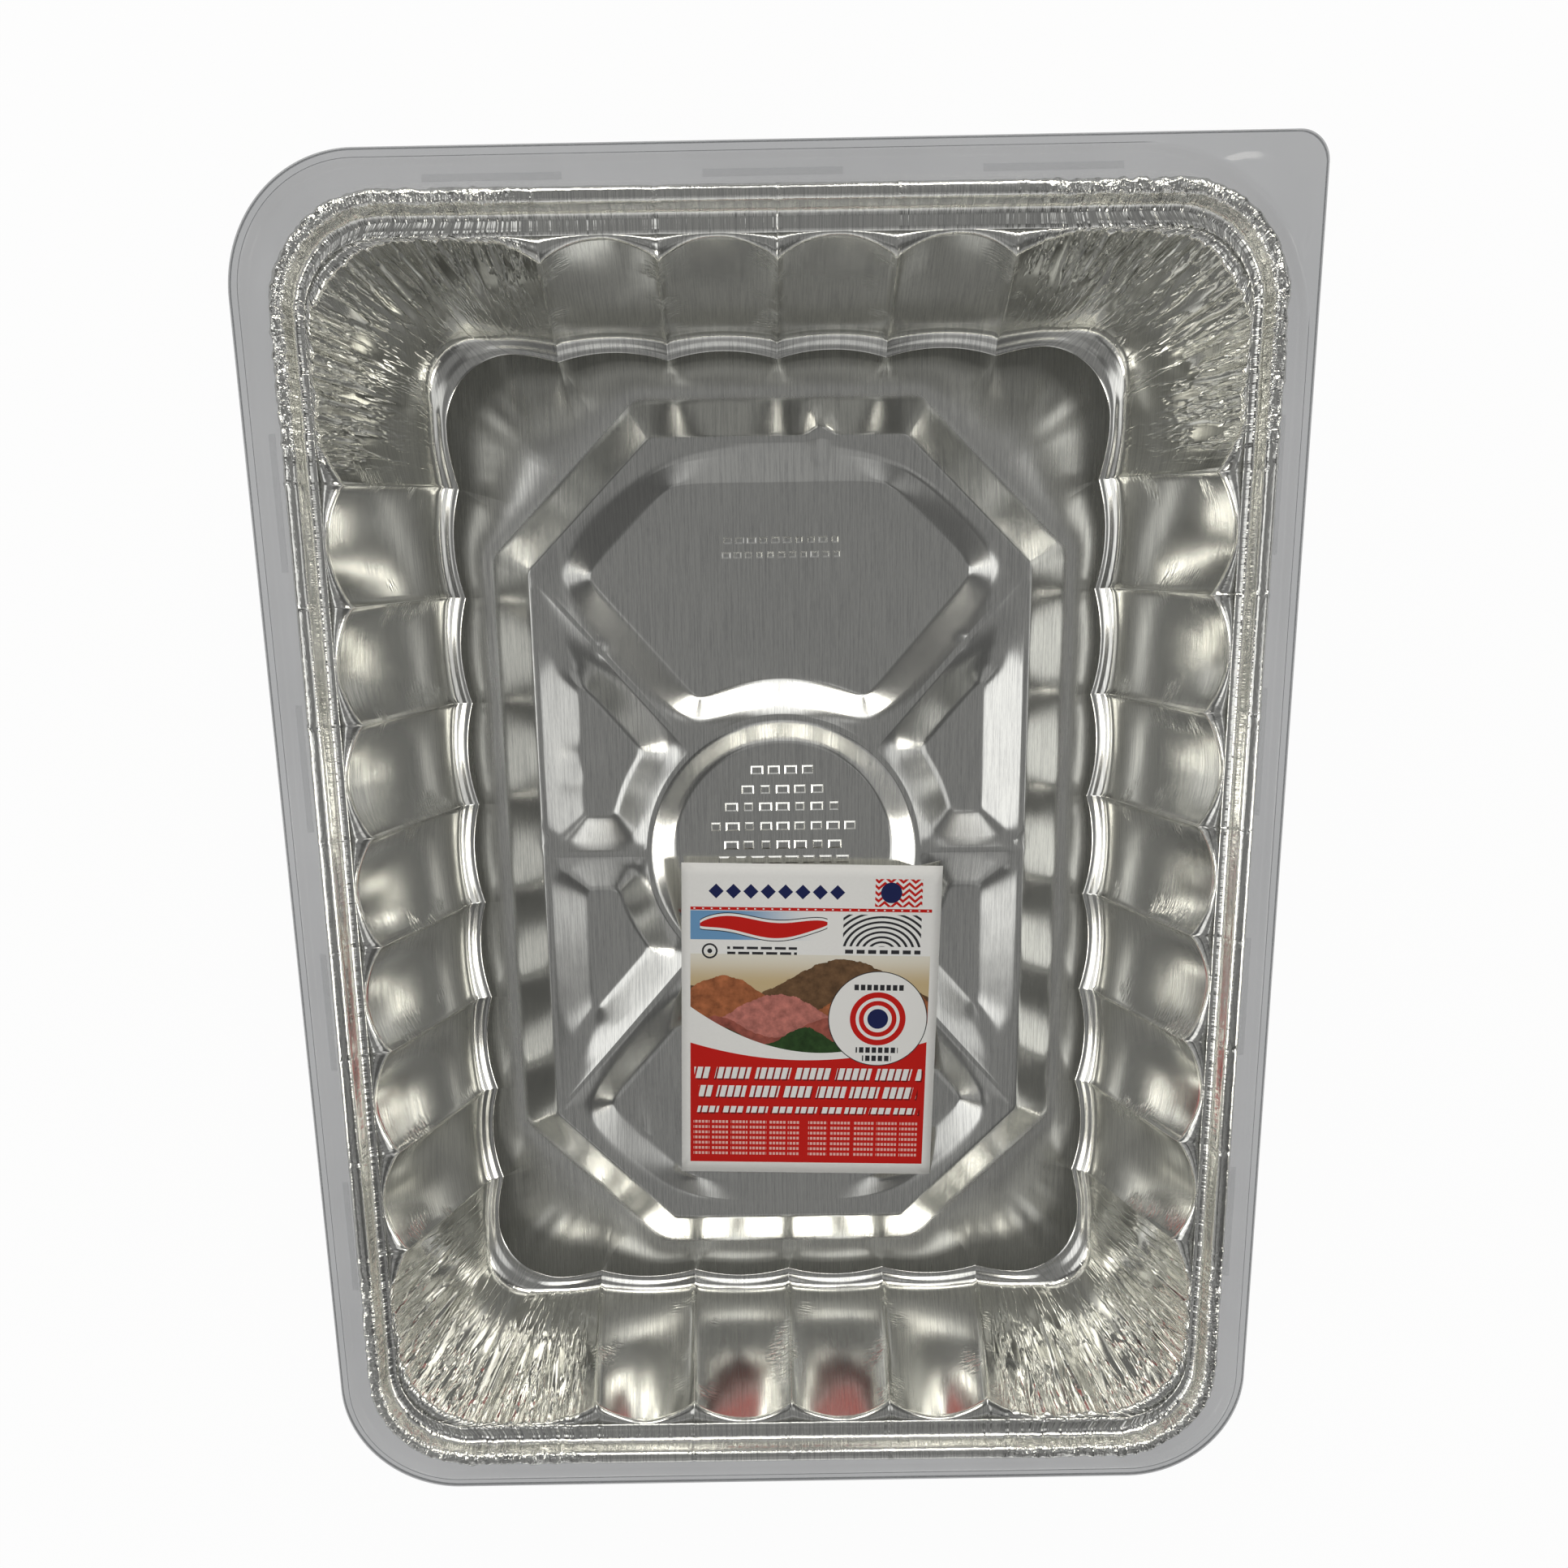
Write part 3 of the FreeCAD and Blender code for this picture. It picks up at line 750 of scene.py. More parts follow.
@dataclass
class FoilPan:
    """One stamped sheet of foil with a rolled bead, fluted walls and a pressed rack."""

    rim_length: float = 401.0
    rim_width: float = 287.0
    height: float = 73.0
    rim_radius: float = 33.0
    foil: float = 0.3
    bead_diameter: float = 4.8
    bead_turns: tuple[tuple[float, float], ...] = (
        (-120, 0), (-80, 0), (-40, 0), (-10, 0), (15, 0), (40, 0), (62, 0.05), (80, -0.12),
        (98, -0.18), (116, 0), (136, 0.02), (158, 0), (180, 0))
    band_width: float = 3.4
    band_rings: tuple[tuple[float, float], ...] = (
        (5.3, 3.9), (5.9, 5.4), (6.7, 6.05), (7.5, 6.35))
    ledge_depth: float = 6.5
    ledge_side: float = 0.4
    ledge_end: float = 3.4
    ledge_radius: float = 22.0
    ledge_spill: tuple[float, float] = (0.3, 0.5)
    ledge_fall: float = 0.05
    brow_share: float = 0.55
    brow_fall: float = 0.3
    brow_sag: float = 0.4
    wall_shares: tuple[float, ...] = (0.012, 0.035, 0.065, 0.1, 0.14, 0.185, 0.235, 0.29, 0.35,
                                      0.42, 0.5, 0.58, 0.67, 0.77, 0.88, 1.0)
    crease_sag: float = 1.1
    flute_pitch_side: float = 35.2
    flute_pitch_end: float = 33.8
    flute_bulge: float = 5.6
    foot_pitch_side: float = 37.1
    foot_pitch_end: float = 37.4
    foot_bulge: float = 1.8
    wall_radius: float = 28.0
    foot_length: float = 355.0
    foot_width: float = 237.0
    foot_height: float = 6.0
    foot_radius: float = 19.0
    foot_rings: tuple[tuple[float, float], ...] = (
        (0.3, 5.2), (0.7, 4.1), (1.2, 3.25), (1.8, 2.6), (2.5, 2.15), (3.2, 1.85), (3.8, 1.45),
        (4.3, 1.0), (4.8, 0.62), (5.3, 0.4))
    floor_rings: tuple[float, float] = (5.9, 6.7)
    floor_scale: float = 50.0
    lobe_bulge: float = 3.4
    lobe_radius: float = 27.0
    lobe_inset: float = 10.0
    rack_length: float = 290.0
    rack_width: float = 176.0
    rack_chamfer: float = 44.0
    rack_height: float = 6.1
    ridge_top: float = 2.0
    rib_slope: float = 13.0
    slope_ease: float = 0.22
    ridge_foot_ease: float = 0.4
    pocket_foot_ease: float = 0.5
    disc_foot_ease: float = 0.45
    ridge_radii: tuple[float, float] = (4.0, 9.0)
    end_centre: tuple[float, float] = (0.0, 97.0)
    end_stations: int = 240
    side_centre: tuple[float, float] = (67.5, 31.0)
    side_stations: int = 140
    side_shelf: tuple[float, float, float] = (74.0, 101.0, 0.22)
    ridge_runs: tuple[float, ...] = (-0.35, 0.0, 0.45, 1.3, 4.5, 8.5, 11.3, 12.6, 13.7, 15.0, 15.6)
    pocket_runs: tuple[float, ...] = (-0.3, 0.0, 0.35, 0.9, 2.2, 3.8, 5.4, 7.0, 8.6, 10.2, 11.4,
                                      12.4, 13.2, 14.1, 14.7)
    disc_runs: tuple[float, ...] = (-0.3, 0.0, 0.4, 1.1, 3.2, 5.8, 7.3, 8.1, 8.9, 9.8, 10.4)
    disc_stations: int = 168
    ring_diameter: float = 98.4
    disc_diameter: float = 80.0
    shift: tuple[float, float, float] = (0.5, -1.4, 1.3)
    turn_degrees: float = -0.2
    dents: tuple[tuple[float, float, float, tuple[float, float, float]], ...] = (
        (14.6, 146.5, 2.6, (0.0, 2.6, 0.6)), (8.5, 151.0, 2.2, (0.0, 0.0, -0.9)),
        (20.5, 150.5, 2.2, (0.0, 0.0, -0.8)), (14.6, 139.0, 2.6, (0.0, 0.0, -0.7)),
        (14.6, 152.5, 2.4, (0.0, 1.0, 0.4)), (-87.0, 6.3, 1.2, (1.4, 0.0, -0.8)),
        (87.0, 3.1, 1.2, (-1.4, 0.0, -0.8)), (-63.4, 74.0, 1.3, (-0.7, 0.5, -0.5)),
        (-53.8, -110.0, 1.6, (0.0, 0.0, 0.5)), (-76.5, 36.0, 3.0, (0.0, 0.0, -0.55)),
        (-76.5, 27.0, 3.0, (0.0, 0.0, 0.4)), (64.0, 75.0, 1.3, (0.6, 0.5, -0.4)),
    )
    wording: tuple[tuple[float, float, int, float, float], ...] = (
        (111.0, 0.7, 10, 4.2, 2.3), (106.0, 0.7, 11, 3.9, 2.3), (29.7, 0.0, 4, 6.2, 3.2),
        (22.5, 0.0, 5, 6.4, 3.2), (16.1, 0.0, 7, 6.3, 3.2), (8.8, 0.0, 9, 6.2, 3.2),
        (1.8, 0.0, 7, 6.4, 3.2), (-3.9, 0.0, 8, 6.3, 3.0),
    )
    bar_rise: float = 0.3
    bar_sink: float = 0.14
    bar_share: float = 0.84
    bar_taper: float = 0.6
    bar_shortest: float = 0.6
    fold_kinds: tuple[FoldKind, ...] = (
        FoldKind((4.5, 8.0), (0.7, 1.4), (0.45, 0.95), 0.8),
        FoldKind((1.4, 2.4), (0.3, 0.6), (0.08, 0.32), 0.6))
    fold_lean: float = 7.0
    fold_fade: float = 0.16
    fold_seed: int = 11
    gather_ease: float = 12.0
    crease_depth: float = 0.5
    crease_width: float = 0.75
    perimeter: Perimeter = field(default_factory=Perimeter)

    def place(self) -> Matrix:
        """Where the pan lies in the lid, in metres."""
        turn = Matrix.Rotation(math.radians(self.turn_degrees), 4, "Z")
        return Matrix.Translation(Vector(self.shift) * MM) @ turn

    def wall_levels(self) -> tuple[WallLevel, WallLevel]:
        """The wall at its main heights.

        Returns:
            Its level at the ledge and at its foot.
        """
        inset = self.bead_diameter + self.band_width
        top = WallLevel(self.rim_width / 2 - inset - self.ledge_side - self.flute_bulge,
                        self.rim_length / 2 - inset - self.ledge_end - self.flute_bulge,
                        self.flute_pitch_side, self.flute_pitch_end, self.flute_bulge,
                        self.wall_radius, self.height - self.ledge_depth)
        foot = WallLevel(self.foot_width / 2, self.foot_length / 2, self.foot_pitch_side,
                         self.foot_pitch_end, self.foot_bulge, self.foot_radius,
                         self.foil + self.foot_height)
        return top, foot

    def rim_level(self, inset: float, z: float) -> WallLevel:
        """A plain rounded outline inside the rim.

        Args:
            inset: Its distance inside the rim's edge.
            z: Its height.

        Returns:
            The level.
        """
        return WallLevel(self.rim_width / 2 - inset, self.rim_length / 2 - inset,
                         self.flute_pitch_side, self.flute_pitch_end, 0.0,
                         self.rim_radius - inset, z)

    def folds(self, along: np.ndarray, depth: np.ndarray, seed: int) -> np.ndarray:
        """Folds of one corner, drawn in where the flat blank has too much foil.

        Args:
            along: Distance along the corner at the ledge, one for each station.
            depth: Share of the wall's height below the ledge, one for each ring.
            seed: Seed of this corner.

        Returns:
            How far the wall is pushed out, rings by stations.
        """
        random = np.random.default_rng(seed)
        total = along[-1]
        pushed = np.zeros((len(depth), len(along)))
        for kind in self.fold_kinds:
            place = random.uniform(1, kind.gap[0])
            while place < total - 1:
                middle = min(1.0, 2.4 * (1 - abs(place / total * 2 - 1)))
                size = random.uniform(*kind.size) * (0.3 + 0.7 * middle)
                length = random.uniform(*kind.length) * (0.45 + 0.55 * middle)
                lean = random.uniform(-self.fold_lean, self.fold_lean)
                phase = random.uniform(0, 900)
                sway = lean * depth + 1.5 * wander(depth * 60 + phase, 8.0, seed) * depth ** 0.5
                fade = np.clip((length - depth) / self.fold_fade, 0, 1)
                spread = kind.width * (0.75 + 1.1 * depth[:, None])
                offset = (along[None, :] - (place + sway)[:, None]) / spread
                steep = random.uniform(1.6, 2.6)
                if random.random() < 0.5:
                    offset = -offset
                shape = np.where(offset < 0, np.exp(-np.abs(offset * steep) ** 1.6),
                                 np.exp(-np.abs(offset) ** 1.15))
                pushed += random.choice([-1.0, -1.0, 0.8]) * size * fade[:, None] * shape
                place += random.uniform(*kind.gap)
        return pushed

    def levels(self) -> list[Hoop]:
        """Outlines from the curled edge inward to the floor.

        Returns:
            The hoops, in that order.
        """
        top, foot = self.wall_levels()
        bead = self.bead_diameter / 2
        axis = self.height - bead
        hoops = []
        for turn, swell in self.bead_turns:
            angle, size = math.radians(turn), bead + swell
            hoops.append(Hoop(self.rim_level(bead - size * math.cos(angle),
                                             axis + size * math.sin(angle)), Hoop.BEAD))
        hoops += [Hoop(self.rim_level(inset, self.height - drop), Hoop.BAND)
                  for inset, drop in self.band_rings]
        edge = WallLevel(top.half_x + top.bulge + self.ledge_spill[0],
                         top.half_y + top.bulge + self.ledge_spill[1], top.pitch_side,
                         top.pitch_end, 0.0, self.ledge_radius, top.z - self.ledge_fall)
        hoops.append(Hoop(hoops[-1].level.blend(edge, 0.5), Hoop.LEDGE))
        hoops.append(Hoop(edge, Hoop.LEDGE_EDGE))
        brow = edge.blend(top, self.brow_share).at(top.z - self.brow_fall)
        hoops.append(Hoop(brow, Hoop.BROW, self.brow_sag))
        hoops += [Hoop(top.blend(foot, share), share, self.crease_sag * (1 - share))
                  for share in self.wall_shares]
        inner = WallLevel(foot.half_x - self.lobe_inset, foot.half_y - self.lobe_inset,
                          foot.pitch_side, foot.pitch_end, self.lobe_bulge, self.lobe_radius,
                          self.foil)
        floor = tuple((inset, self.foil) for inset in self.floor_rings)
        hoops += [Hoop(foot.blend(inner, inset / self.lobe_inset).at(z),
                       1.0 + inset / self.floor_scale) for inset, z in self.foot_rings + floor]
        return hoops

    def wall(self, rim: Sheet, sheet: Sheet) -> np.ndarray:
        """Rolled bead, band, ledge, fluted wall and foot, with gathers and crimps.

        Args:
            rim: Where the rings go down to the ledge's inner edge.
            sheet: Where the rings go from there.

        Returns:
            Points of the innermost ring, which lies flat on the floor.
        """
        hoops = self.levels()
        shape = [self.perimeter.ring(hoop.level) for hoop in hoops]
        depth = np.array([hoop.depth for hoop in hoops])
        plan = np.array([points for points, _ in shape])
        top = int(np.argmax(depth > 0))
        normal = shape[top][1]
        ledge = plan[top]
        step = np.hypot(*(np.roll(ledge, -1, axis=0) - ledge).T)
        along = np.concatenate([[0], np.cumsum(step)[:-1]])
        swell = self.perimeter.swell()
        height = np.array([hoop.level.z - hoop.sag * (1 - swell) for hoop in hoops])
        grid = WallGrid(depth, along, swell, height, np.zeros(plan.shape[:2]),
                        np.zeros(len(along)))
        self.gathered(grid)
        self.crimped(grid)
        plan = plan + normal[None] * grid.pushed[..., None]
        middle = np.hypot(*np.diff(plan[:, self.perimeter.per_flute // 2], axis=0).T)
        fall = np.diff(grid.height[:, self.perimeter.per_flute // 2 - 1])
        down = np.concatenate([[0], np.cumsum(np.hypot(fall, middle))])
        ledge_edge = int(np.flatnonzero(depth == Hoop.LEDGE_EDGE)[0])
        for part, first, last in ((rim, 0, ledge_edge), (sheet, ledge_edge, len(depth) - 1)):
            rings = [part.ring(np.column_stack([plan[index], grid.height[index]]),
                               plan[-1] + normal * (down[-1] - down[index]),
                               np.column_stack([along, np.full(len(along), down[index])]),
                               grid.marks(index))
                     for index in range(first, last + 1)]
            part.bridge_all(rings)
            part.edge, part.inner_edge = rings[0], rings[-1]
        return sheet.points[-1]

    def gathered(self, grid: WallGrid) -> None:
        """Folds the corners, waves the wall and draws in the creases between flutes.

        Args:
            grid: The wall, whose pushes are changed.
        """
        depth, along, share = grid.depth, grid.along, grid.share
        for index, part in enumerate(self.perimeter.corners()):
            local = along[part] - along[part][0]
            near = np.clip(np.minimum(local, local[-1] - local) / self.gather_ease, 0, 1)
            grid.gather[part] = near * near * (3 - 2 * near)
            grid.pushed[:, part] = self.folds(local, share, self.fold_seed + index)
        on_wall = np.interp(depth, [Hoop.BAND, Hoop.LEDGE_EDGE, Hoop.BROW, 0.03, 0.6, 0.95],
                            [0, 0.15, 0.7, 1, 0.8, 0])
        on_wall[depth > 1.1] = 0
        grid.pushed *= on_wall[:, None] * (0.15 + 0.85 * grid.gather)
        place, fall = grid.places()
        broad = wander_patch(place, fall * 0.45, 11.0, 5) * (0.3 + 0.6 * grid.gather)
        small = wander_patch(place, fall * 0.4, 4.5, 6) * (0.03 + 0.07 * grid.gather)
        grid.pushed += (broad * 0.55 + small) * (on_wall * (1.15 - 0.6 * share))[:, None]
        creases = along[grid.swell < 1e-9]
        away = np.abs(along[:, None] - creases[None]).min(axis=1)
        on_crease = np.interp(depth, (-0.1, 0.05, 1, 1.05), (0, 1, 1, 0))[:, None]
        grid.pushed -= self.crease_depth * np.exp(-(away / self.crease_width) ** 2) * on_crease

    def crimped(self, grid: WallGrid) -> None:
        """Rolls the bead unevenly and puts fine creases across the band and the ledge.

        Args:
            grid: The wall, whose pushes and heights are changed.
        """
        depth, along = grid.depth, grid.along
        place, fall = grid.places()
        crimp = wander(along, 1.3, 21) * 0.6 + wander(along, 2.9, 22) * 0.5
        bead = depth == Hoop.BEAD
        twist = wander_patch(place[bead], np.cumsum(bead[bead])[:, None] * 1.1 + fall[bead],
                             1.7, 8)
        grid.pushed[bead] += (crimp * 0.2 + twist * 0.36) * grid.loose
        grid.height[bead] += (wander(along, 1.5, 23) * 0.22 + twist * 0.26) * grid.loose
        shelf = (depth >= Hoop.BAND) & (depth < -0.1)
        lines = wander(along, 1.25, 24) * 0.14 + wander(along, 3.1, 25) * 0.16
        lines = lines * (0.35 + 0.65 * grid.gather)
        grid.height[shelf] += lines + 0.3 * grid.creased * wander(along, 0.9, 26)

    def slope(self, runs: tuple[float, ...], width: float, foot_ease: float) -> np.ndarray:
        """Heights of the rings on a slope of the rack, level at both ends.

        Args:
            runs: Distance of each ring from the top edge.
            width: Width of the slope.
            foot_ease: How softly it meets the floor.

        Returns:
            One height for each ring.
        """
        run = np.array(runs)
        ramp = soft_floor(run, self.slope_ease) - soft_floor(run - width, foot_ease)
        heights = self.foil + self.rack_height * (1 - ramp / width)
        heights[0] = self.foil + self.rack_height
        heights[-2:] = self.foil
        return heights

    def rack(self, sheet: Sheet, border: np.ndarray) -> None:
        """Eight-sided ridge, sunk windows, ring and disc.

        Args:
            sheet: Where the rings go.
            border: Points of the wall's innermost ring.
        """
        floor_ring = sheet.ring(border)
        sheet.edge = floor_ring
        half_x, half_y = self.rack_width / 2, self.rack_length / 2
        quarter = math.pi / 2
        cut = (half_x + half_y - self.rack_chamfer) / math.sqrt(2)
        reaches = (half_x, cut, half_y, cut) * 2
        ridge = Outline(tuple((quarter / 2 * i, reach) for i, reach in enumerate(reaches)))
        heights = self.slope(self.ridge_runs, self.rib_slope, self.ridge_foot_ease)
        small, large = self.ridge_radii
        rings = []
        for run, z in zip(self.ridge_runs[::-1], heights[::-1]):
            radius = small + (large - small) * min(1.0, max(0.0, run / self.rib_slope))
            plan = ridge.ring(run, radius)
            rings.append(sheet.ring(np.column_stack([plan, np.full(len(plan), z)])))
        sheet.bridge_all(rings)
        sheet.fill(floor_ring, [rings[0]])
        tops = self.pockets(sheet)
        tops.append(self.disc(sheet))
        sheet.fill(rings[-1], tops)
        sheet.points = [self.dented(points) for points in sheet.points]

    def dented(self, points: np.ndarray) -> np.ndarray:
        """Presses the rack's dents and its one buckle.

        Args:
            points: Points of a ring.

        Returns:
            The points, moved.
        """
        moved = points.copy()
        for x, y, reach, push in self.dents:
            away = (points[:, 0] - x) ** 2 + (points[:, 1] - y) ** 2
            moved += np.exp(-away / (2 * reach * reach))[:, None] * push
        return moved

    def pockets(self, sheet: Sheet) -> list[np.ndarray]:
        """The six sunk windows.

        Args:
            sheet: Where the rings go.

        Returns:
            Numbers of each window's top ring.
        """
        half_x, half_y = self.rack_width / 2, self.rack_length / 2
        quarter = math.pi / 2
        cut = (half_x + half_y - self.rack_chamfer) / math.sqrt(2) - self.ridge_top
        inner_x, inner_y = half_x - self.ridge_top, half_y - self.ridge_top
        rib = self.ridge_top / 2
        diagonal = math.atan2(half_y - self.rack_chamfer, half_x)
        reach = self.ring_diameter / 2 + rib
        end = Pocket(((quarter / 2, cut), (quarter, inner_y), (quarter * 1.5, cut),
                      (quarter * 3 - diagonal, -rib), (quarter * 3 + diagonal, -rib)),
                     reach, self.end_centre, self.end_stations)
        side = Pocket(((0.0, inner_x), (diagonal + quarter, -rib), (quarter * 3, -rib)),
                      reach, self.side_centre, self.side_stations, ease_middle=3.6,
                      ease_foot=1.1, shelf=self.side_shelf)
        heights = self.slope(self.pocket_runs, self.rib_slope, self.pocket_foot_ease)
        tops = []
        for pocket, signs in ((end, ((1, 1), (1, -1))),
                              (side, ((1, 1), (-1, 1), (-1, -1), (1, -1)))):
            turns = pocket.rays()
            plans = [pocket.level(run, turns) for run in self.pocket_runs]
            for sign in signs:
                rings = []
                for plan, z in zip(plans, heights):
                    points = np.column_stack([plan * sign, np.full(len(plan), z)])
                    rings.append(sheet.ring(points if sign[0] * sign[1] > 0 else points[::-1]))
                sheet.bridge_all(rings)
                sheet.fill(rings[-1], [])
                tops.append(rings[0])
        return tops

    def disc(self, sheet: Sheet) -> np.ndarray:
        """Sunk disc inside the ring.

        Args:
            sheet: Where the rings go.

        Returns:
            Numbers of its top ring.
        """
        top = self.ring_diameter / 2 - self.ridge_top / 2
        width = top - self.disc_diameter / 2
        heights = self.slope(self.disc_runs, width, self.disc_foot_ease)
        turn = np.arange(self.disc_stations) / self.disc_stations * TAU
        rings = [sheet.ring(np.column_stack([(top - run) * np.cos(turn), (top - run) * np.sin(turn),
                                             np.full(len(turn), z)]))
                 for run, z in zip(self.disc_runs, heights)]
        sheet.bridge_all(rings)
        sheet.fill(rings[-1], [])
        return rings[0]

    def build(self) -> list[bpy.types.Object]:
        """Makes, dresses and places the pan.

        Returns:
            Its pieces.
        """
        rim, wall, rack = (Sheet(f"foil_pan_{part}", self.foil) for part in ("rim", "wall", "rack"))
        self.rack(rack, self.wall(rim, wall))
        finish = Foil().material()
        made = [sheet.build(self.place()) for sheet in (rim, wall, rack)]
        for piece in made:
            dress(piece, finish, Slot.FOIL, "foil_pan")
        return made + self.embossed(finish)

    def embossed(self, finish: bpy.types.Material) -> list[bpy.types.Object]:
        """Rows of plain raised bars in the far window and in the disc.

        Args:
            finish: Material of the foil.

        Returns:
            One piece for each row.
        """
        made = []
        for index, (y, x, count, pitch, width) in enumerate(self.wording):
            start = (x - pitch * (count - 1) / 2, y, self.foil + self.bar_sink)
            size = (pitch * self.bar_share, width, self.bar_rise)
            row = Row(count, start, (pitch, 0.0, 0.0), size, self.bar_taper, self.bar_shortest,
                      index)
            piece = row.build(f"embossed_bars_{index + 1}", self.place(), finish)
            dress(piece, finish, Slot.FOIL)
            made.append(piece)
        return made


@dataclass
class ClearLid:
    """Formed clear lid lying on its crown, with a channel for the bead and a pull tab."""

    length: float = 420.0
    width: float = 306.0
    sheet: float = 0.4
    depth: float = 69.4
    lip: float = 3.0
    skirt_rise: float = 3.4
    skirt_run: float = 1.0
    corner_radius: float = 38.0
    tab_radius: float = 8.5
    tab_skirt_radius: float = 48.0
    crown_length: float = 362.0
    crown_width: float = 242.0
    crown_radius: float = 20.0
    dome_width: float = 276.6
    dome_length: float = 392.0
    dome_radius: float = 24.8
    tab_centre: tuple[float, float] = (131.0, 186.0)
    tab_radii: tuple[float, float] = (17.5, 10.5)
    tab_step: float = 0.8
    pad_size: tuple[float, float, float] = (39.0, 2.0, 0.85)
    pad_inset: float = 3.0
    pad_pitch: float = 78.0
    pad_counts: tuple[int, int] = (4, 3)
    pad_sink: float = 0.05
    pad_taper: float = 0.35
    pad_alpha: float = 0.07
    flange_rings: int = 15
    dome_levels: tuple[tuple[float, float], ...] = (
        (0.0, 0.0), (0.004, 0.02), (0.02, 0.06), (0.25, 0.28), (0.5, 0.5), (0.75, 0.73),
        (0.9, 0.87), (0.97, 0.955), (1.02, 0.985), (1.1, 1.0), (1.2, 1.0))
    per_corner: int = 40
    per_side: int = 40

    def ring(self, half_x: float, half_y: float, radius: float, tab: float) -> np.ndarray:
        """Rounded outline.

        Args:
            half_x: Half its width.
            half_y: Half its length.
            radius: Radius of three corners.
            tab: Radius of the corner with the tab.

        Returns:
            Its points.
        """
        turn = np.linspace(0, math.pi / 2, self.per_corner)
        arcs = []
        for index, sign in enumerate(((1, 1), (-1, 1), (-1, -1), (1, -1))):
            size = tab if index == 0 else radius
            centre = np.array([sign[0] * (half_x - size), sign[1] * (half_y - size)])
            angle = turn + math.pi / 2 * index
            arcs.append(centre + size * np.stack([np.cos(angle), np.sin(angle)], axis=1))
        share = np.arange(1, self.per_side)[:, None] / self.per_side
        points = []
        for arc, following in zip(arcs, arcs[1:] + arcs[:1]):
            points += [arc, arc[-1] * (1 - share) + following[0] * share]
        return np.concatenate(points)

    @property
    def lip_top(self) -> float:
        """Height of the lip's upper face."""
        return self.depth + self.skirt_rise

    def flange_ring(self, sheet: Sheet, inset: float, radii: tuple[float, float],
                    z: float) -> np.ndarray:
        """Adds a ring of the flange, raised where the tab is stepped.

        Args:
            sheet: Where the ring goes.
            inset: Its distance inside the lid's edge.
            radii: Radius of three corners, and of the one with the tab.
            z: Its height.

        Returns:
            Numbers of its points.
        """
        plan = self.ring(self.width / 2 - inset, self.length / 2 - inset, *radii)
        away = np.hypot(*(plan - np.array(self.tab_centre)).T)
        rise = sum(1 / (1 + np.exp((away - r) / 0.3)) for r in self.tab_radii)
        height = z + self.tab_step * rise * (z >= self.lip_top - 0.01)
        return sheet.ring(np.column_stack([plan, height]))

    def flange(self, sheet: Sheet) -> list[np.ndarray]:
        """Lip, skirt and channel, from the edge inward.

        Args:
            sheet: Where the rings go.

        Returns:
            Numbers of each ring's points.
        """
        skirt_radius = self.corner_radius - self.lip - self.skirt_run
        widening = self.tab_skirt_radius + 1 - self.tab_radius
        rings = [self.flange_ring(sheet, 0.0, (self.corner_radius, self.tab_radius),
                                  self.lip_top - 1.2)]
        for share in np.arange(self.flange_rings) / (self.flange_rings - 1):
            radii = self.corner_radius - self.lip * share, self.tab_radius + widening * share
            rings.append(self.flange_ring(sheet, 0.12 + (self.lip - 0.3) * share, radii,
                                          self.lip_top))
        edge = self.lip + self.skirt_run
        for run, z in ((0.8, self.lip_top - 0.7), (0.2, self.depth + 0.6), (-0.5, self.depth)):
            radii = skirt_radius + run, self.tab_skirt_radius + run
            rings.append(self.flange_ring(sheet, edge - run, radii, z))
        return rings

    def dome(self, sheet: Sheet) -> list[np.ndarray]:
        """The dome that the pan stands in, from the channel down to the crown.

        Args:
            sheet: Where the rings go.

        Returns:
            Numbers of each ring's points.
        """
        rings = []
        for share, drop in self.dome_levels:
            flare = 0.7 * math.exp(-share / 0.02)
            half_x = flare + self.dome_width / 2 * (1 - share) + self.crown_width / 2 * share
            half_y = flare + self.dome_length / 2 * (1 - share) + self.crown_length / 2 * share
            radius = self.dome_radius + (self.crown_radius - self.dome_radius) * share
            plan = self.ring(half_x, half_y, radius, radius)
            z = self.depth + (self.sheet - self.depth) * drop
            rings.append(sheet.ring(np.column_stack([plan, np.full(len(plan), z)])))
        return rings

    def build(self) -> list[bpy.types.Object]:
        """Makes, dresses and places the lid.

        Returns:
            Its pieces.
        """
        sheet = Sheet("clear_lid_sheet", self.sheet)
        rings = self.flange(sheet) + self.dome(sheet)
        sheet.edge = rings[0]
        sheet.bridge_all(rings)
        sheet.fill(rings[-1], [])
        made = sheet.build(Matrix.Identity(4))
        dress(made, ClearPlastic().material(), Slot.CLEAR, "clear_lid")
        return [made] + self.pads(ClearPlastic("clear_pad", alpha=self.pad_alpha).material())

    def pads(self, finish: bpy.types.Material) -> list[bpy.types.Object]:
        """Raised pads on the channel's floor, a row on each side.

        Args:
            finish: Their material.

        Returns:
            One piece for each row.
        """
        long, wide, high = self.pad_size
        edge = self.lip + self.skirt_run + self.pad_inset
        x, y = self.width / 2 - edge, self.length / 2 - edge
        z = self.depth + high / 2 - self.pad_sink
        made = []
        for name, sign in (("left", -1), ("right", 1), ("near", -1), ("far", 1)):
            endwise = name in ("near", "far")
            count = self.pad_counts[endwise]
            back = -self.pad_pitch * (count - 1) / 2
            start, step, size = (sign * x, back, z), (0, self.pad_pitch, 0), (wide, long, high)
            if endwise:
                start, step, size = (back, sign * y, z), (self.pad_pitch, 0, 0), self.pad_size
            row = Row(count, start, step, size, self.pad_taper, 1.0, 0)
            made.append(row.build(f"lid_pads_{name}", Matrix.Identity(4), finish))
        for piece in made:
            dress(piece, finish, Slot.CLEAR)
        return made


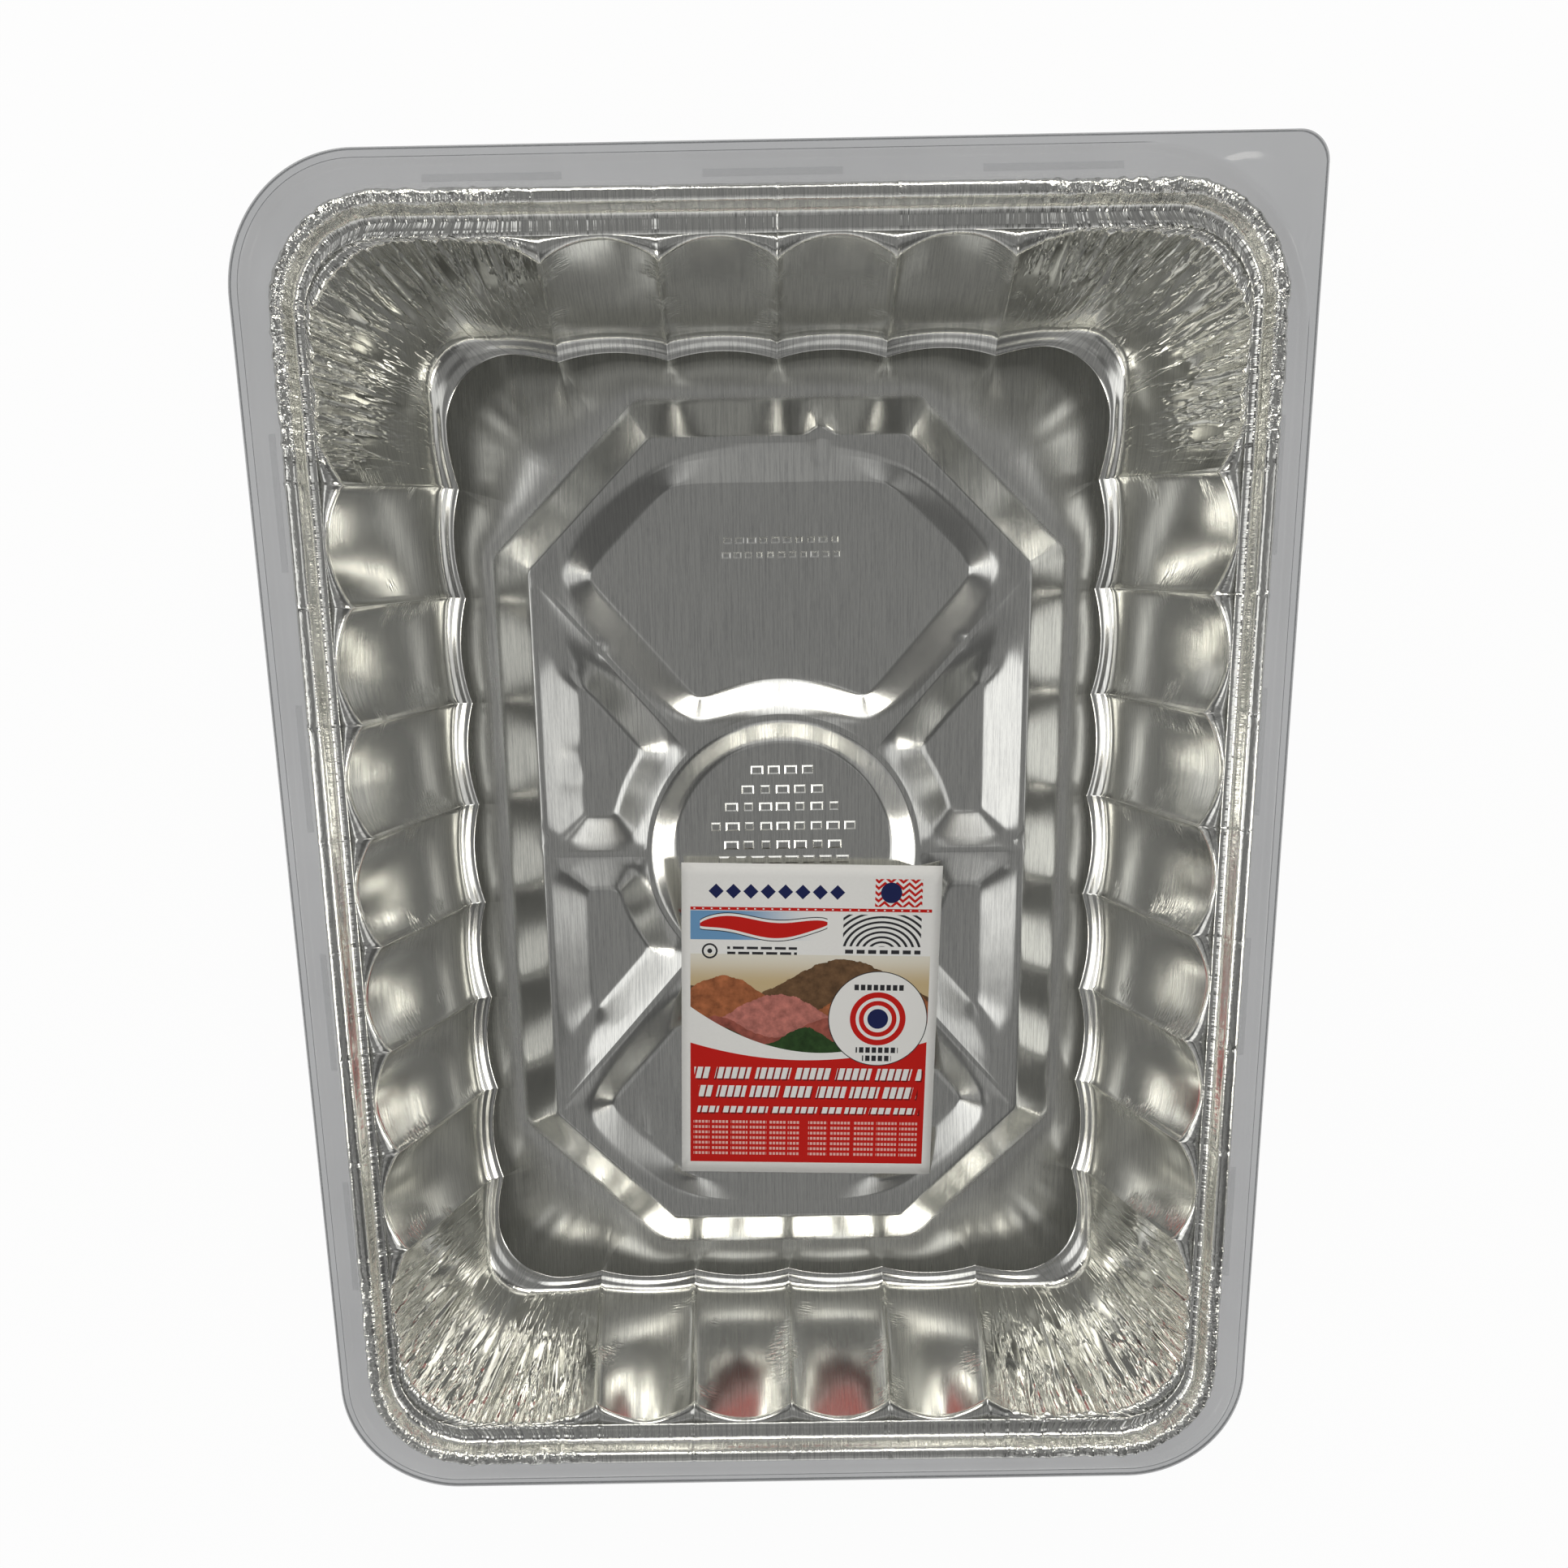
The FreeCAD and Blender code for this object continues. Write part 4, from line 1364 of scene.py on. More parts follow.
@dataclass
class LabelCard:
    """Thin printed card, lying on the rack."""

    length: float = 122.0
    width: float = 96.0
    thickness: float = 0.3
    centre: tuple[float, float] = (8.8, -65.5)
    turn_degrees: float = -1.6
    rest: float = 6.4
    columns: int = 24
    rows: int = 30
    rings: int = 13

    def build(self, pan: FoilPan) -> list[bpy.types.Object]:
        """Makes, dresses and places the card.

        Args:
            pan: The pan that it lies in.

        Returns:
            The card.
        """
        sheet = Sheet("label_card_sheet", self.thickness)
        rings = []
        for share in np.linspace(1, 0, self.rings + 1)[:-1]:
            x, y = self.width / 2 * share, self.length / 2 * share
            across = np.linspace(-1, 1, self.columns + 1)[:-1]
            up = np.linspace(-1, 1, self.rows + 1)[:-1]
            plan = np.concatenate([
                np.stack([np.full(self.rows, 1.0), up], axis=1),
                np.stack([-across, np.full(self.columns, 1.0)], axis=1),
                np.stack([np.full(self.rows, -1.0), -up], axis=1),
                np.stack([across, np.full(self.columns, -1.0)], axis=1)]) * [x, y]
            height = np.full(len(plan), self.rest + self.thickness)
            rings.append(sheet.ring(np.column_stack([plan, height])))
        sheet.edge = rings[0]
        sheet.bridge_all(rings)
        sheet.fill(rings[-1], [])
        turn = Matrix.Rotation(math.radians(self.turn_degrees), 4, "Z")
        local = Matrix.Translation(Vector((*self.centre, 0)) * MM) @ turn
        made = sheet.build(pan.place() @ local)
        dress(made, PrintedCard().material(), Slot.CARD, "label_card")
        return [made]


# ---------------------------------------------------------------------------
# Finishes
# ---------------------------------------------------------------------------


@dataclass(frozen=True)
class Signal:
    """A value in a shader; arithmetic on it adds Math nodes."""

    board: "Board"
    socket: bpy.types.NodeSocket

    def math(self, operation: str, *others: "Signal | float") -> "Signal":
        """Adds a Math node on this value and others."""
        return self.board.node("ShaderNodeMath", {"operation": operation},
                               dict(enumerate((self, *others))))

    def __add__(self, other: "Signal | float") -> "Signal":
        """Sum."""
        return self.math("ADD", other)

    def __radd__(self, other: float) -> "Signal":
        """Sum, the number first."""
        return self.math("ADD", other)

    def __sub__(self, other: "Signal | float") -> "Signal":
        """Difference."""
        return self.math("SUBTRACT", other)

    def __rsub__(self, other: float) -> "Signal":
        """Difference, the number first."""
        return (self * -1.0) + other

    def __mul__(self, other: "Signal | float") -> "Signal":
        """Product."""
        return self.math("MULTIPLY", other)

    def __rmul__(self, other: float) -> "Signal":
        """Product, the number first."""
        return self.math("MULTIPLY", other)

    def __truediv__(self, other: "Signal | float") -> "Signal":
        """Quotient."""
        return self.math("DIVIDE", other)

    def __gt__(self, other: "Signal | float") -> "Signal":
        """One where this value is greater."""
        return self.math("GREATER_THAN", other)

    def __lt__(self, other: "Signal | float") -> "Signal":
        """One where this value is less."""
        return self.math("LESS_THAN", other)

    def within(self, centre: float, half: float) -> "Signal":
        """One where this value is within half of the centre."""
        return (self - centre).math("ABSOLUTE") < half


@dataclass
class Board:
    """The node tree of one finish."""

    tree: bpy.types.NodeTree

    def node(self, kind: str, settings: dict, inputs: dict, output: int | str = 0) -> Signal:
        """Adds any node.

        Args:
            kind: Its type.
            settings: Its own settings, which are set first.
            inputs: Values or signals of its sockets, by name or number.
            output: The socket that is read.

        Returns:
            The signal at that socket.
        """
        made = self.tree.nodes.new(kind)
        for name, value in settings.items():
            setattr(made, name, value)
        for key, value in inputs.items():
            socket = made.inputs[key]
            if isinstance(value, Signal):
                self.tree.links.new(value.socket, socket)
            else:
                socket.default_value = value
        return Signal(self, made.outputs[output])

    def mix(self, share: Signal | float, low: "Signal | tuple", high: "Signal | tuple") -> Signal:
        """Mixes two colours."""
        return self.node("ShaderNodeMix", {"data_type": "RGBA"}, {0: share, 6: low, 7: high}, 2)

    def noise(self, where: Signal, scale: float, detail: float = 2.0,
              roughness: float = 0.5) -> Signal:
        """Plain noise from 0 to 1."""
        return self.node("ShaderNodeTexNoise", {}, {"Vector": where, "Scale": scale,
                                                    "Detail": detail, "Roughness": roughness})

    def mapped(self, where: Signal, scale: tuple[float, float, float],
               shift: tuple[float, float, float] = (0, 0, 0), turn: float = 0.0) -> Signal:
        """Shifts, turns and scales coordinates.

        Args:
            where: The coordinates.
            scale: Scale of each.
            shift: Shift of each.
            turn: Turn about the third, in radians.

        Returns:
            The new coordinates.
        """
        return self.node("ShaderNodeMapping", {"vector_type": "POINT"},
                         {"Vector": where, "Location": shift, "Rotation": (0, 0, turn),
                          "Scale": scale})

    def uv(self, name: str) -> Signal:
        """A UV map of the piece."""
        return self.node("ShaderNodeUVMap", {"uv_map": name}, {})

    def mark(self, name: str) -> Signal:
        """A value kept at the points of the piece."""
        return self.node("ShaderNodeAttribute", {"attribute_name": name}, {}, "Fac")

    def bump(self, height: Signal, strength: float, distance: float) -> Signal:
        """Bump from a height."""
        return self.node("ShaderNodeBump", {},
                         {"Height": height, "Strength": strength, "Distance": distance})

    def ramp(self, value: Signal, low: float, high: float) -> Signal:
        """Nought at the first number, one at the second, eased between."""
        return self.node("ShaderNodeMapRange", {"interpolation_type": "SMOOTHSTEP"},
                         {0: value, 1: low, 2: high, 3: 0.0, 4: 1.0})

    def crest(self, value: Signal, steepness: float) -> Signal:
        """One where the value is a half, falling to nought on both sides."""
        return (1.0 - (value - 0.5).math("ABSOLUTE") * steepness).math("MAXIMUM", 0.0)

    def feed(self, shader: bpy.types.Node, inputs: dict[str, Signal]) -> None:
        """Links signals to a shader's sockets by name."""
        for name, signal in inputs.items():
            self.tree.links.new(signal.socket, shader.inputs[name])

    def split(self, vector: Signal) -> tuple[Signal, Signal, Signal]:
        """Takes a vector apart.

        Args:
            vector: The vector.

        Returns:
            Its three parts.
        """
        first = self.node("ShaderNodeSeparateXYZ", {}, {0: vector})
        outputs = first.socket.node.outputs
        return first, Signal(self, outputs[1]), Signal(self, outputs[2])


def new_material(name: str) -> tuple[bpy.types.Material, Board, bpy.types.Node]:
    """An empty material.

    Args:
        name: Its name.

    Returns:
        The material, its board and its surface shader.
    """
    made = bpy.data.materials.new(name)
    made.use_nodes = True
    shader = made.node_tree.nodes["Principled BSDF"]
    return made, Board(made.node_tree), shader


@dataclass(frozen=True)
class Foil:
    """Rolled aluminium foil: fine grain along the pan, gathers in the corners."""

    colour: tuple[float, float, float, float] = (0.84, 0.84, 0.8, 1)
    dull: tuple[float, float, float, float] = (0.58, 0.58, 0.565, 1)
    roughness: float = 0.175
    bright_by_work: float = 0.1
    dull_by_rolling: float = 0.12
    grain_scale: tuple[float, float, float] = (1700, 42, 1)
    fine_scale: tuple[float, float, float] = (4200, 300, 1)
    cloud_scale: tuple[float, float, float] = (24, 17, 1)
    streak_scale: tuple[float, float, float] = (720, 48, 1)
    fold_scale: tuple[float, float, float] = (170, 30, 1)
    slant_scale: tuple[float, float, float] = (520, 60, 1)
    knock_scale: tuple[float, float, float] = (800, 700, 1)
    patch_scale: tuple[float, float, float] = (70, 60, 1)
    pucker_scale: tuple[float, float, float] = (300, 900, 1)
    floor_half: tuple[float, float] = (101.0, 158.0)
    floor_cut: float = 146.6

    def worked_height(self, board: Board, around: Signal, down: Signal) -> Signal:
        """Height of the streaks, folds, crimps and puckers left by the press.

        Args:
            board: The finish's board.
            around: Distance round the pan and down its wall, in metres.
            down: Distance down the wall, in millimetres.

        Returns:
            The height, in millimetres.
        """
        gather, crumple, crimp = (board.mark(name) for name in MARKS)
        upper = board.ramp(down, 29.0, 20.0)
        band = board.ramp(down, 12.4, 13.2) * board.ramp(down, 19.5, 17.5)
        slant = board.noise(board.mapped(around, self.slant_scale, turn=0.06), 1.0, 3.0, 0.6)
        streak = board.noise(board.mapped(around, self.streak_scale), 1.0, 3.0, 0.6)
        fold = board.noise(board.mapped(around, self.fold_scale, (0.7, 0.2, 0)), 1.0, 3.0, 0.55)
        line = board.crest(fold, 18.0)
        knock = board.noise(board.mapped(around, self.knock_scale), 1.0, 2.0, 0.6)
        patch = board.noise(board.mapped(around, self.patch_scale, (3.1, 1.7, 0)), 1.0, 1.0)
        pucker = board.noise(board.mapped(around, self.pucker_scale, turn=0.35), 1.0, 2.0)
        height = (streak - 0.5) * gather * (upper * 0.36 + 0.03)
        height = height - line * gather * (0.24 - upper * 0.16)
        height = height + (knock - 0.5) * 0.42 * crimp + (slant - 0.5) * band * (0.3 - gather * 0.2)
        return height + (pucker - 0.5) * crumple * (patch - 0.52).math("MAXIMUM", 0.0) * 4.0

    def rolled(self, board: Board, blank: Signal, down: Signal) -> Signal:
        """One on the flat floor outside the rack, where the foil keeps its rolled dullness.

        Args:
            board: The finish's board.
            blank: Place on the flat sheet, in metres.
            down: Distance down the wall, in millimetres.

        Returns:
            The mask.
        """
        x, y, _ = board.split(board.mapped(blank, (1000, 1000, 1)))
        x, y = x.math("ABSOLUTE"), y.math("ABSOLUTE")
        outside = (x - self.floor_half[0]).math("MAXIMUM", y - self.floor_half[1])
        slanted = (x + y) * math.sqrt(0.5) - self.floor_cut
        return board.ramp(outside.math("MAXIMUM", slanted), -1.0, 1.0) * (down < 1.0)

    def material(self) -> bpy.types.Material:
        """Builds the finish.

        Returns:
            The material.
        """
        made, board, shader = new_material("pressed_foil")
        blank, around = board.uv("blank"), board.uv("around")
        _, down, _ = board.split(board.mapped(around, (1000, 1000, 1)))
        grain = board.noise(board.mapped(blank, self.grain_scale), 1.0, 3.0, 0.65) - 0.5
        fine = board.noise(board.mapped(blank, self.fine_scale), 1.0, 2.0) - 0.5
        cloud = board.noise(board.mapped(blank, self.cloud_scale), 1.0, 3.0, 0.55) - 0.5
        height = grain * 0.008 + fine * 0.005 + cloud * 0.25
        height = height + self.worked_height(board, around, down)
        tone = 0.28 + cloud * 0.6 + grain * 2.8 + fine * 1.2
        worked = (board.mark("gather") + board.mark("crimp")).math("MINIMUM", 1.0)
        rough = self.roughness - worked * self.bright_by_work + grain * 0.14 + cloud * 0.08
        rough = rough + self.rolled(board, blank, down) * self.dull_by_rolling
        board.feed(shader, {"Base Color": board.mix(tone, self.colour, self.dull),
                            "Roughness": rough, "Normal": board.bump(height, 1.0, 0.001)})
        shader.inputs["Metallic"].default_value = 1.0
        return made


@dataclass(frozen=True)
class ClearPlastic:
    """Clear formed plastic, its dark grey-blue base colour painted shade for the shadowed floor
    seen through the sheet.
    """

    name: str = "clear_plastic"
    # Painted shade: these dark grey-blue base colours, mixed by a cloud noise, stand for the
    # shadowed floor seen through the sheet.
    colour: tuple[float, float, float, float] = (0.1, 0.112, 0.125, 1)
    haze: tuple[float, float, float, float] = (0.14, 0.153, 0.168, 1)
    roughness: float = 0.1
    alpha: float = 0.4

    def material(self) -> bpy.types.Material:
        """Builds the finish.

        Returns:
            The material.
        """
        made, board, shader = new_material(self.name)
        cloud = board.noise(board.node("ShaderNodeTexCoord", {}, {}, "Object"), 22.0, 3.0)
        # The base colour mix is painted shade for the shadowed floor behind the clear sheet.
        board.feed(shader, {"Base Color": board.mix(cloud, self.colour, self.haze),
                            "Roughness": self.roughness + cloud * 0.12,
                            "Alpha": self.alpha * (0.9 + cloud * 0.2)})
        shader.inputs["IOR"].default_value = 1.5
        return made


@dataclass
class Print:
    """Flat print, laid colour over colour; places in millimetres from the card's centre."""

    board: Board
    x: Signal
    y: Signal
    base: Signal

    def lay(self, mask: Signal, colour: "tuple | Signal") -> None:
        """Prints a colour where the mask is one."""
        self.base = self.board.mix(mask.math("MINIMUM", 1.0), self.base, colour)

    def box(self, left: float, right: float, low: float, high: float) -> Signal:
        """A rectangle."""
        across = self.x.within((left + right) / 2, (right - left) / 2)
        return across * self.y.within((low + high) / 2, (high - low) / 2)

    def away(self, x: float, y: float, stretch: float = 1.0) -> Signal:
        """Distance from a point, the height stretched."""
        rise = (self.y - y) * stretch
        return ((self.x - x) * (self.x - x) + rise * rise).math("SQRT")

    def beat(self, place: Signal, pitch: float) -> Signal:
        """Share of the way through each pitch."""
        return ((place + 100 * pitch) / pitch).math("FRACT")

    def dashes(self, pitch: float, share: float, lean: float = 0.0, start: float = 0.0) -> Signal:
        """Upright dashes in a row, leaning if asked."""
        place = (self.x - self.y * lean + (start + 1000 * pitch)) / pitch
        return place.math("FRACT") < share


@dataclass(frozen=True)
class PrintedCard:
    """Coated white card, printed in plain fields and simple shapes."""

    red: tuple[float, float, float, float] = (0.58, 0.012, 0.008, 1)
    navy: tuple[float, float, float, float] = (0.012, 0.018, 0.09, 1)
    ink: tuple[float, float, float, float] = (0.03, 0.03, 0.035, 1)
    white: tuple[float, float, float, float] = (0.87, 0.87, 0.86, 1)
    blue: tuple[float, float, float, float] = (0.16, 0.34, 0.58, 1)
    shade: tuple[float, float, float, float] = (0.2, 0.008, 0.006, 1)
    pale: tuple[float, float, float, float] = (0.85, 0.5, 0.46, 1)
    paper: tuple[float, float, float, float] = (0.84, 0.84, 0.83, 1)
    bright: tuple[float, float, float, float] = (0.9, 0.9, 0.89, 1)
    haze: tuple[float, float, float, float] = (0.8, 0.77, 0.68, 1)
    dusk: tuple[float, float, float, float] = (0.6, 0.47, 0.27, 1)
    edge: float = 44.7
    seal: tuple[float, float] = (25.9, 1.8)
    hills: tuple[tuple[float, float, float, float, tuple[float, float, float, float]], ...] = (
        (17.0, 8.0, 13.0, 0.6, (0.2, 0.11, 0.055, 1)),
        (11.0, 7.0, 9.5, -1.3, (0.5, 0.17, 0.07, 1)),
        (3.5, 7.5, 11.5, 2.6, (0.66, 0.24, 0.2, 1)),
        (-2.0, 4.0, 7.0, 0.4, (0.42, 0.12, 0.09, 1)),
        (-5.5, 3.5, 5.0, 1.9, (0.035, 0.085, 0.025, 1)),
    )

    def header(self, sheet: Print) -> None:
        """Row of diamonds, emblem, dotted line, panel with a wave and arcs in a box.

        Args:
            sheet: The print that it is laid on.
        """
        place = sheet.beat(sheet.x, 6.4) - 0.5
        diamond = place.math("ABSOLUTE") * 6.4 + (sheet.y - 50.5).math("ABSOLUTE") < 2.8
        sheet.lay(diamond * sheet.box(-38.4, 12.8, 46, 55), self.navy)
        zigzag = ((sheet.x + 450.0) / 4.5).math("PINGPONG", 0.5) * 4.0
        stripe = ((sheet.y + zigzag + 100.0) / 2.4).math("FRACT") < 0.5
        sheet.lay(stripe * sheet.box(23.5, 41, 45.2, 55.8), self.red)
        sheet.lay(sheet.away(29.5, 50.6) < 3.9, self.navy)
        sheet.lay(sheet.box(-self.edge, self.edge, 43.3, 44.5), self.red)
        dot = (sheet.beat(sheet.x, 3.2) - 0.5).math("ABSOLUTE") < 0.1
        sheet.lay(dot * sheet.box(-self.edge, self.edge, 43.65, 44.15), self.white)
        fade = sheet.board.ramp(sheet.x, -30.0, 4.0)
        panel = sheet.board.mix(fade, self.blue, self.white)
        sheet.lay(sheet.box(-self.edge, 9.3, 32, 43.1), panel)
        middle = ((sheet.x + 2.0) / 6.6).math("SINE") * 1.5 + 37.2
        across = (sheet.x + 17.5) / 24.0
        half = (1.0 - across * across).math("MAXIMUM", 0.0).math("SQRT") * 3.0
        off = (sheet.y - middle).math("ABSOLUTE") - half
        for grow, colour in ((1.3, self.ink), (0.95, self.white), (0.0, self.red)):
            sheet.lay((off < grow) * (across.math("ABSOLUTE") < 0.985), colour)
        sheet.lay(sheet.box(9.3, 44.0, 25.5, 43.1), self.white)
        arc = (sheet.away(26.5, 27.5, 1.2) / 2.3).math("FRACT") < 0.42
        sheet.lay(arc * sheet.box(12, 41, 30, 42.2), self.ink)
        sheet.lay(sheet.dashes(4.3, 0.7) * sheet.box(12, 41, 27.2, 28.7), self.ink)

    def picture(self, sheet: Print) -> None:
        """Field of rolling hills in warm colours, over a curved lower edge.

        Args:
            sheet: The print that it is laid on.
        """
        board = sheet.board
        speck = board.noise(board.uv("blank"), 260.0, 4.0, 0.6)
        far = sheet.x - 4.0
        ground = (sheet.y > far * far * 0.0075 - 12.0) * sheet.box(-self.edge, self.edge, -14, 26.5)
        sheet.lay(ground, board.mix(board.ramp(sheet.y, 27.0, 15.0), self.haze, self.dusk))
        for level, swing, length, start, colour in self.hills:
            crest = ((sheet.x / length + start).math("SINE") * swing + level) + (speck - 0.5) * 3.0
            dark = tuple(part * 0.45 for part in colour[:3]) + (1,)
            lit = (speck * 2.6 - 0.8).math("MAXIMUM", 0.0).math("MINIMUM", 1.0)
            sheet.lay(ground * (sheet.y - crest < 0.0), board.mix(lit, dark, colour))
        ring = sheet.away(-37.5, 27.6)
        sheet.lay(ring.within(2.6, 0.35), self.ink)
        sheet.lay(ring < 0.9, self.ink)
        for y in (28.9, 26.9):
            sheet.lay(sheet.dashes(5.2, 0.8, 0, y) * sheet.box(-31, -5, y - 0.5, y + 0.5), self.ink)

    def foot(self, sheet: Print) -> None:
        """Curved field of red with rows of plain bars, and a round seal over its edge.

        Args:
            sheet: The print that it is laid on.
        """
        far = sheet.x + 2.0
        field_mask = sheet.y < far * far * 0.0036 - 15.0
        sheet.lay(field_mask * sheet.box(-self.edge, self.edge, -56.8, 0), self.red)
        rows = ((-20.4, 2.3, 15.3, 43.2), (-27.8, 2.3, 12.7, 41.5), (-35.2, 1.3, 9.4, 42.5))
        for index, (y, half, word, reach) in enumerate(rows):
            for colour, slip in ((self.shade, 0.6), (self.white, 0.0)):
                letters = sheet.dashes(2.7, 0.74, 0.22, -slip)
                words = sheet.dashes(word, 0.86, 0.22, index * 3)
                span = sheet.box(-reach + slip, reach + slip, y - half - slip, y + half - slip)
                sheet.lay(letters * words * span, colour)
        line = sheet.beat(sheet.y, 2.15) < 0.5
        for left, right, word in ((-43.5, -2.6, 7.3), (0.6, 42.4, 8.9)):
            bars = sheet.dashes(word, 0.88) * sheet.dashes(1.3, 0.7)
            sheet.lay(line * bars * sheet.box(left, right, -54.4, -39.4), self.pale)
        away = sheet.away(*self.seal)
        sheet.lay(away < 18.7, self.ink)
        sheet.lay(away < 18.35, self.white)
        sheet.lay(away.within(9.4, 1.1), self.red)
        sheet.lay(away.within(6.2, 0.9), self.red)
        sheet.lay(away < 3.9, self.navy)
        for y, half, reach in ((14.1, 1.1, 9.5), (-10.6, 1.1, 8.0), (-13.9, 1.1, 5.5)):
            middle = self.seal[0]
            row = sheet.box(middle - reach, middle + reach, y - half, y + half)
            sheet.lay(sheet.dashes(2.4, 0.7) * row, self.ink)

    def material(self) -> bpy.types.Material:
        """Builds the finish.

        Returns:
            The material.
        """
        made, board, shader = new_material("printed_card")
        x, y, _ = board.split(board.mapped(board.uv("blank"), (1000, 1000, 1)))
        fibre = board.noise(board.uv("blank"), 900.0, 3.0)
        sheet = Print(board, x, y, board.mix(fibre, self.paper, self.bright))
        for part in (self.header, self.picture, self.foot):
            part(sheet)
        board.feed(shader, {"Base Color": sheet.base, "Roughness": 0.42 + fibre * 0.1})
        shader.inputs["Specular IOR Level"].default_value = 0.22
        return made


# ---------------------------------------------------------------------------
# Studio
# ---------------------------------------------------------------------------


@dataclass(frozen=True)
class Camera:
    """The photograph's viewpoint."""

    location: tuple[float, float, float] = (-0.00293, 0.07706, 0.41199)
    right: tuple[float, float, float] = (0.99984, -0.01801, 0.00090)
    up: tuple[float, float, float] = (0.01785, 0.98103, -0.19303)
    back: tuple[float, float, float] = (0.00259, 0.19302, 0.98119)
    lens: float = 25.813
    sensor: float = 36.0
    shift: tuple[float, float] = (0.00816, 0.0456)

    def build(self) -> None:
        """Makes the camera and gives it to the scene."""
        data = bpy.data.cameras.new("photo_camera")
        data.sensor_fit = "HORIZONTAL"
        data.sensor_width = self.sensor
        data.lens = self.lens
        data.shift_x, data.shift_y = self.shift
        data.clip_start = 0.01
        made = bpy.data.objects.new("photo_camera", data)
        turn = Matrix((self.right, self.up, self.back)).transposed().to_4x4()
        made.matrix_world = Matrix.Translation(self.location) @ turn
        bpy.context.scene.collection.objects.link(made)
        bpy.context.scene.camera = made


@dataclass(frozen=True)
class Softbox:
    """A large soft lamp aimed at the pan."""

    name: str
    location: tuple[float, float, float]
    size: tuple[float, float]
    power: float
    tint: tuple[float, float, float] = (1.0, 1.0, 1.0)

    def build(self) -> None:
        """Makes the lamp."""
        data = bpy.data.lights.new(self.name, "AREA")
        data.shape = "RECTANGLE"
        data.size, data.size_y = self.size
        data.energy = self.power
        data.color = self.tint
        made = bpy.data.objects.new(self.name, data)
        aim = Vector((0, 0, 0.03)) - Vector(self.location)
        made.rotation_euler = aim.to_track_quat("-Z", "Y").to_euler()
        made.location = self.location
        bpy.context.scene.collection.objects.link(made)


@dataclass(frozen=True)
class Pool:
    """A round soft light in the room: where it is and how wide, in degrees."""

    azimuth: float
    tilt: float
    core: float
    reach: float
    power: float

    def level(self, board: Board, toward: Signal) -> Signal:
        """Light that it gives.

        Args:
            board: The room's board.
            toward: Direction that is looked in.

        Returns:
            Its strength in that direction.
        """
        turn, side = math.radians(self.azimuth), math.sin(math.radians(self.tilt))
        axis = side * math.cos(turn), side * math.sin(turn), math.cos(math.radians(self.tilt))
        near = board.node("ShaderNodeVectorMath", {"operation": "DOT_PRODUCT"},
                          {0: toward, 1: axis}, "Value")
        far, close = (math.cos(math.radians(angle)) for angle in (self.reach, self.core))
        return board.ramp(near, far, close) * self.power


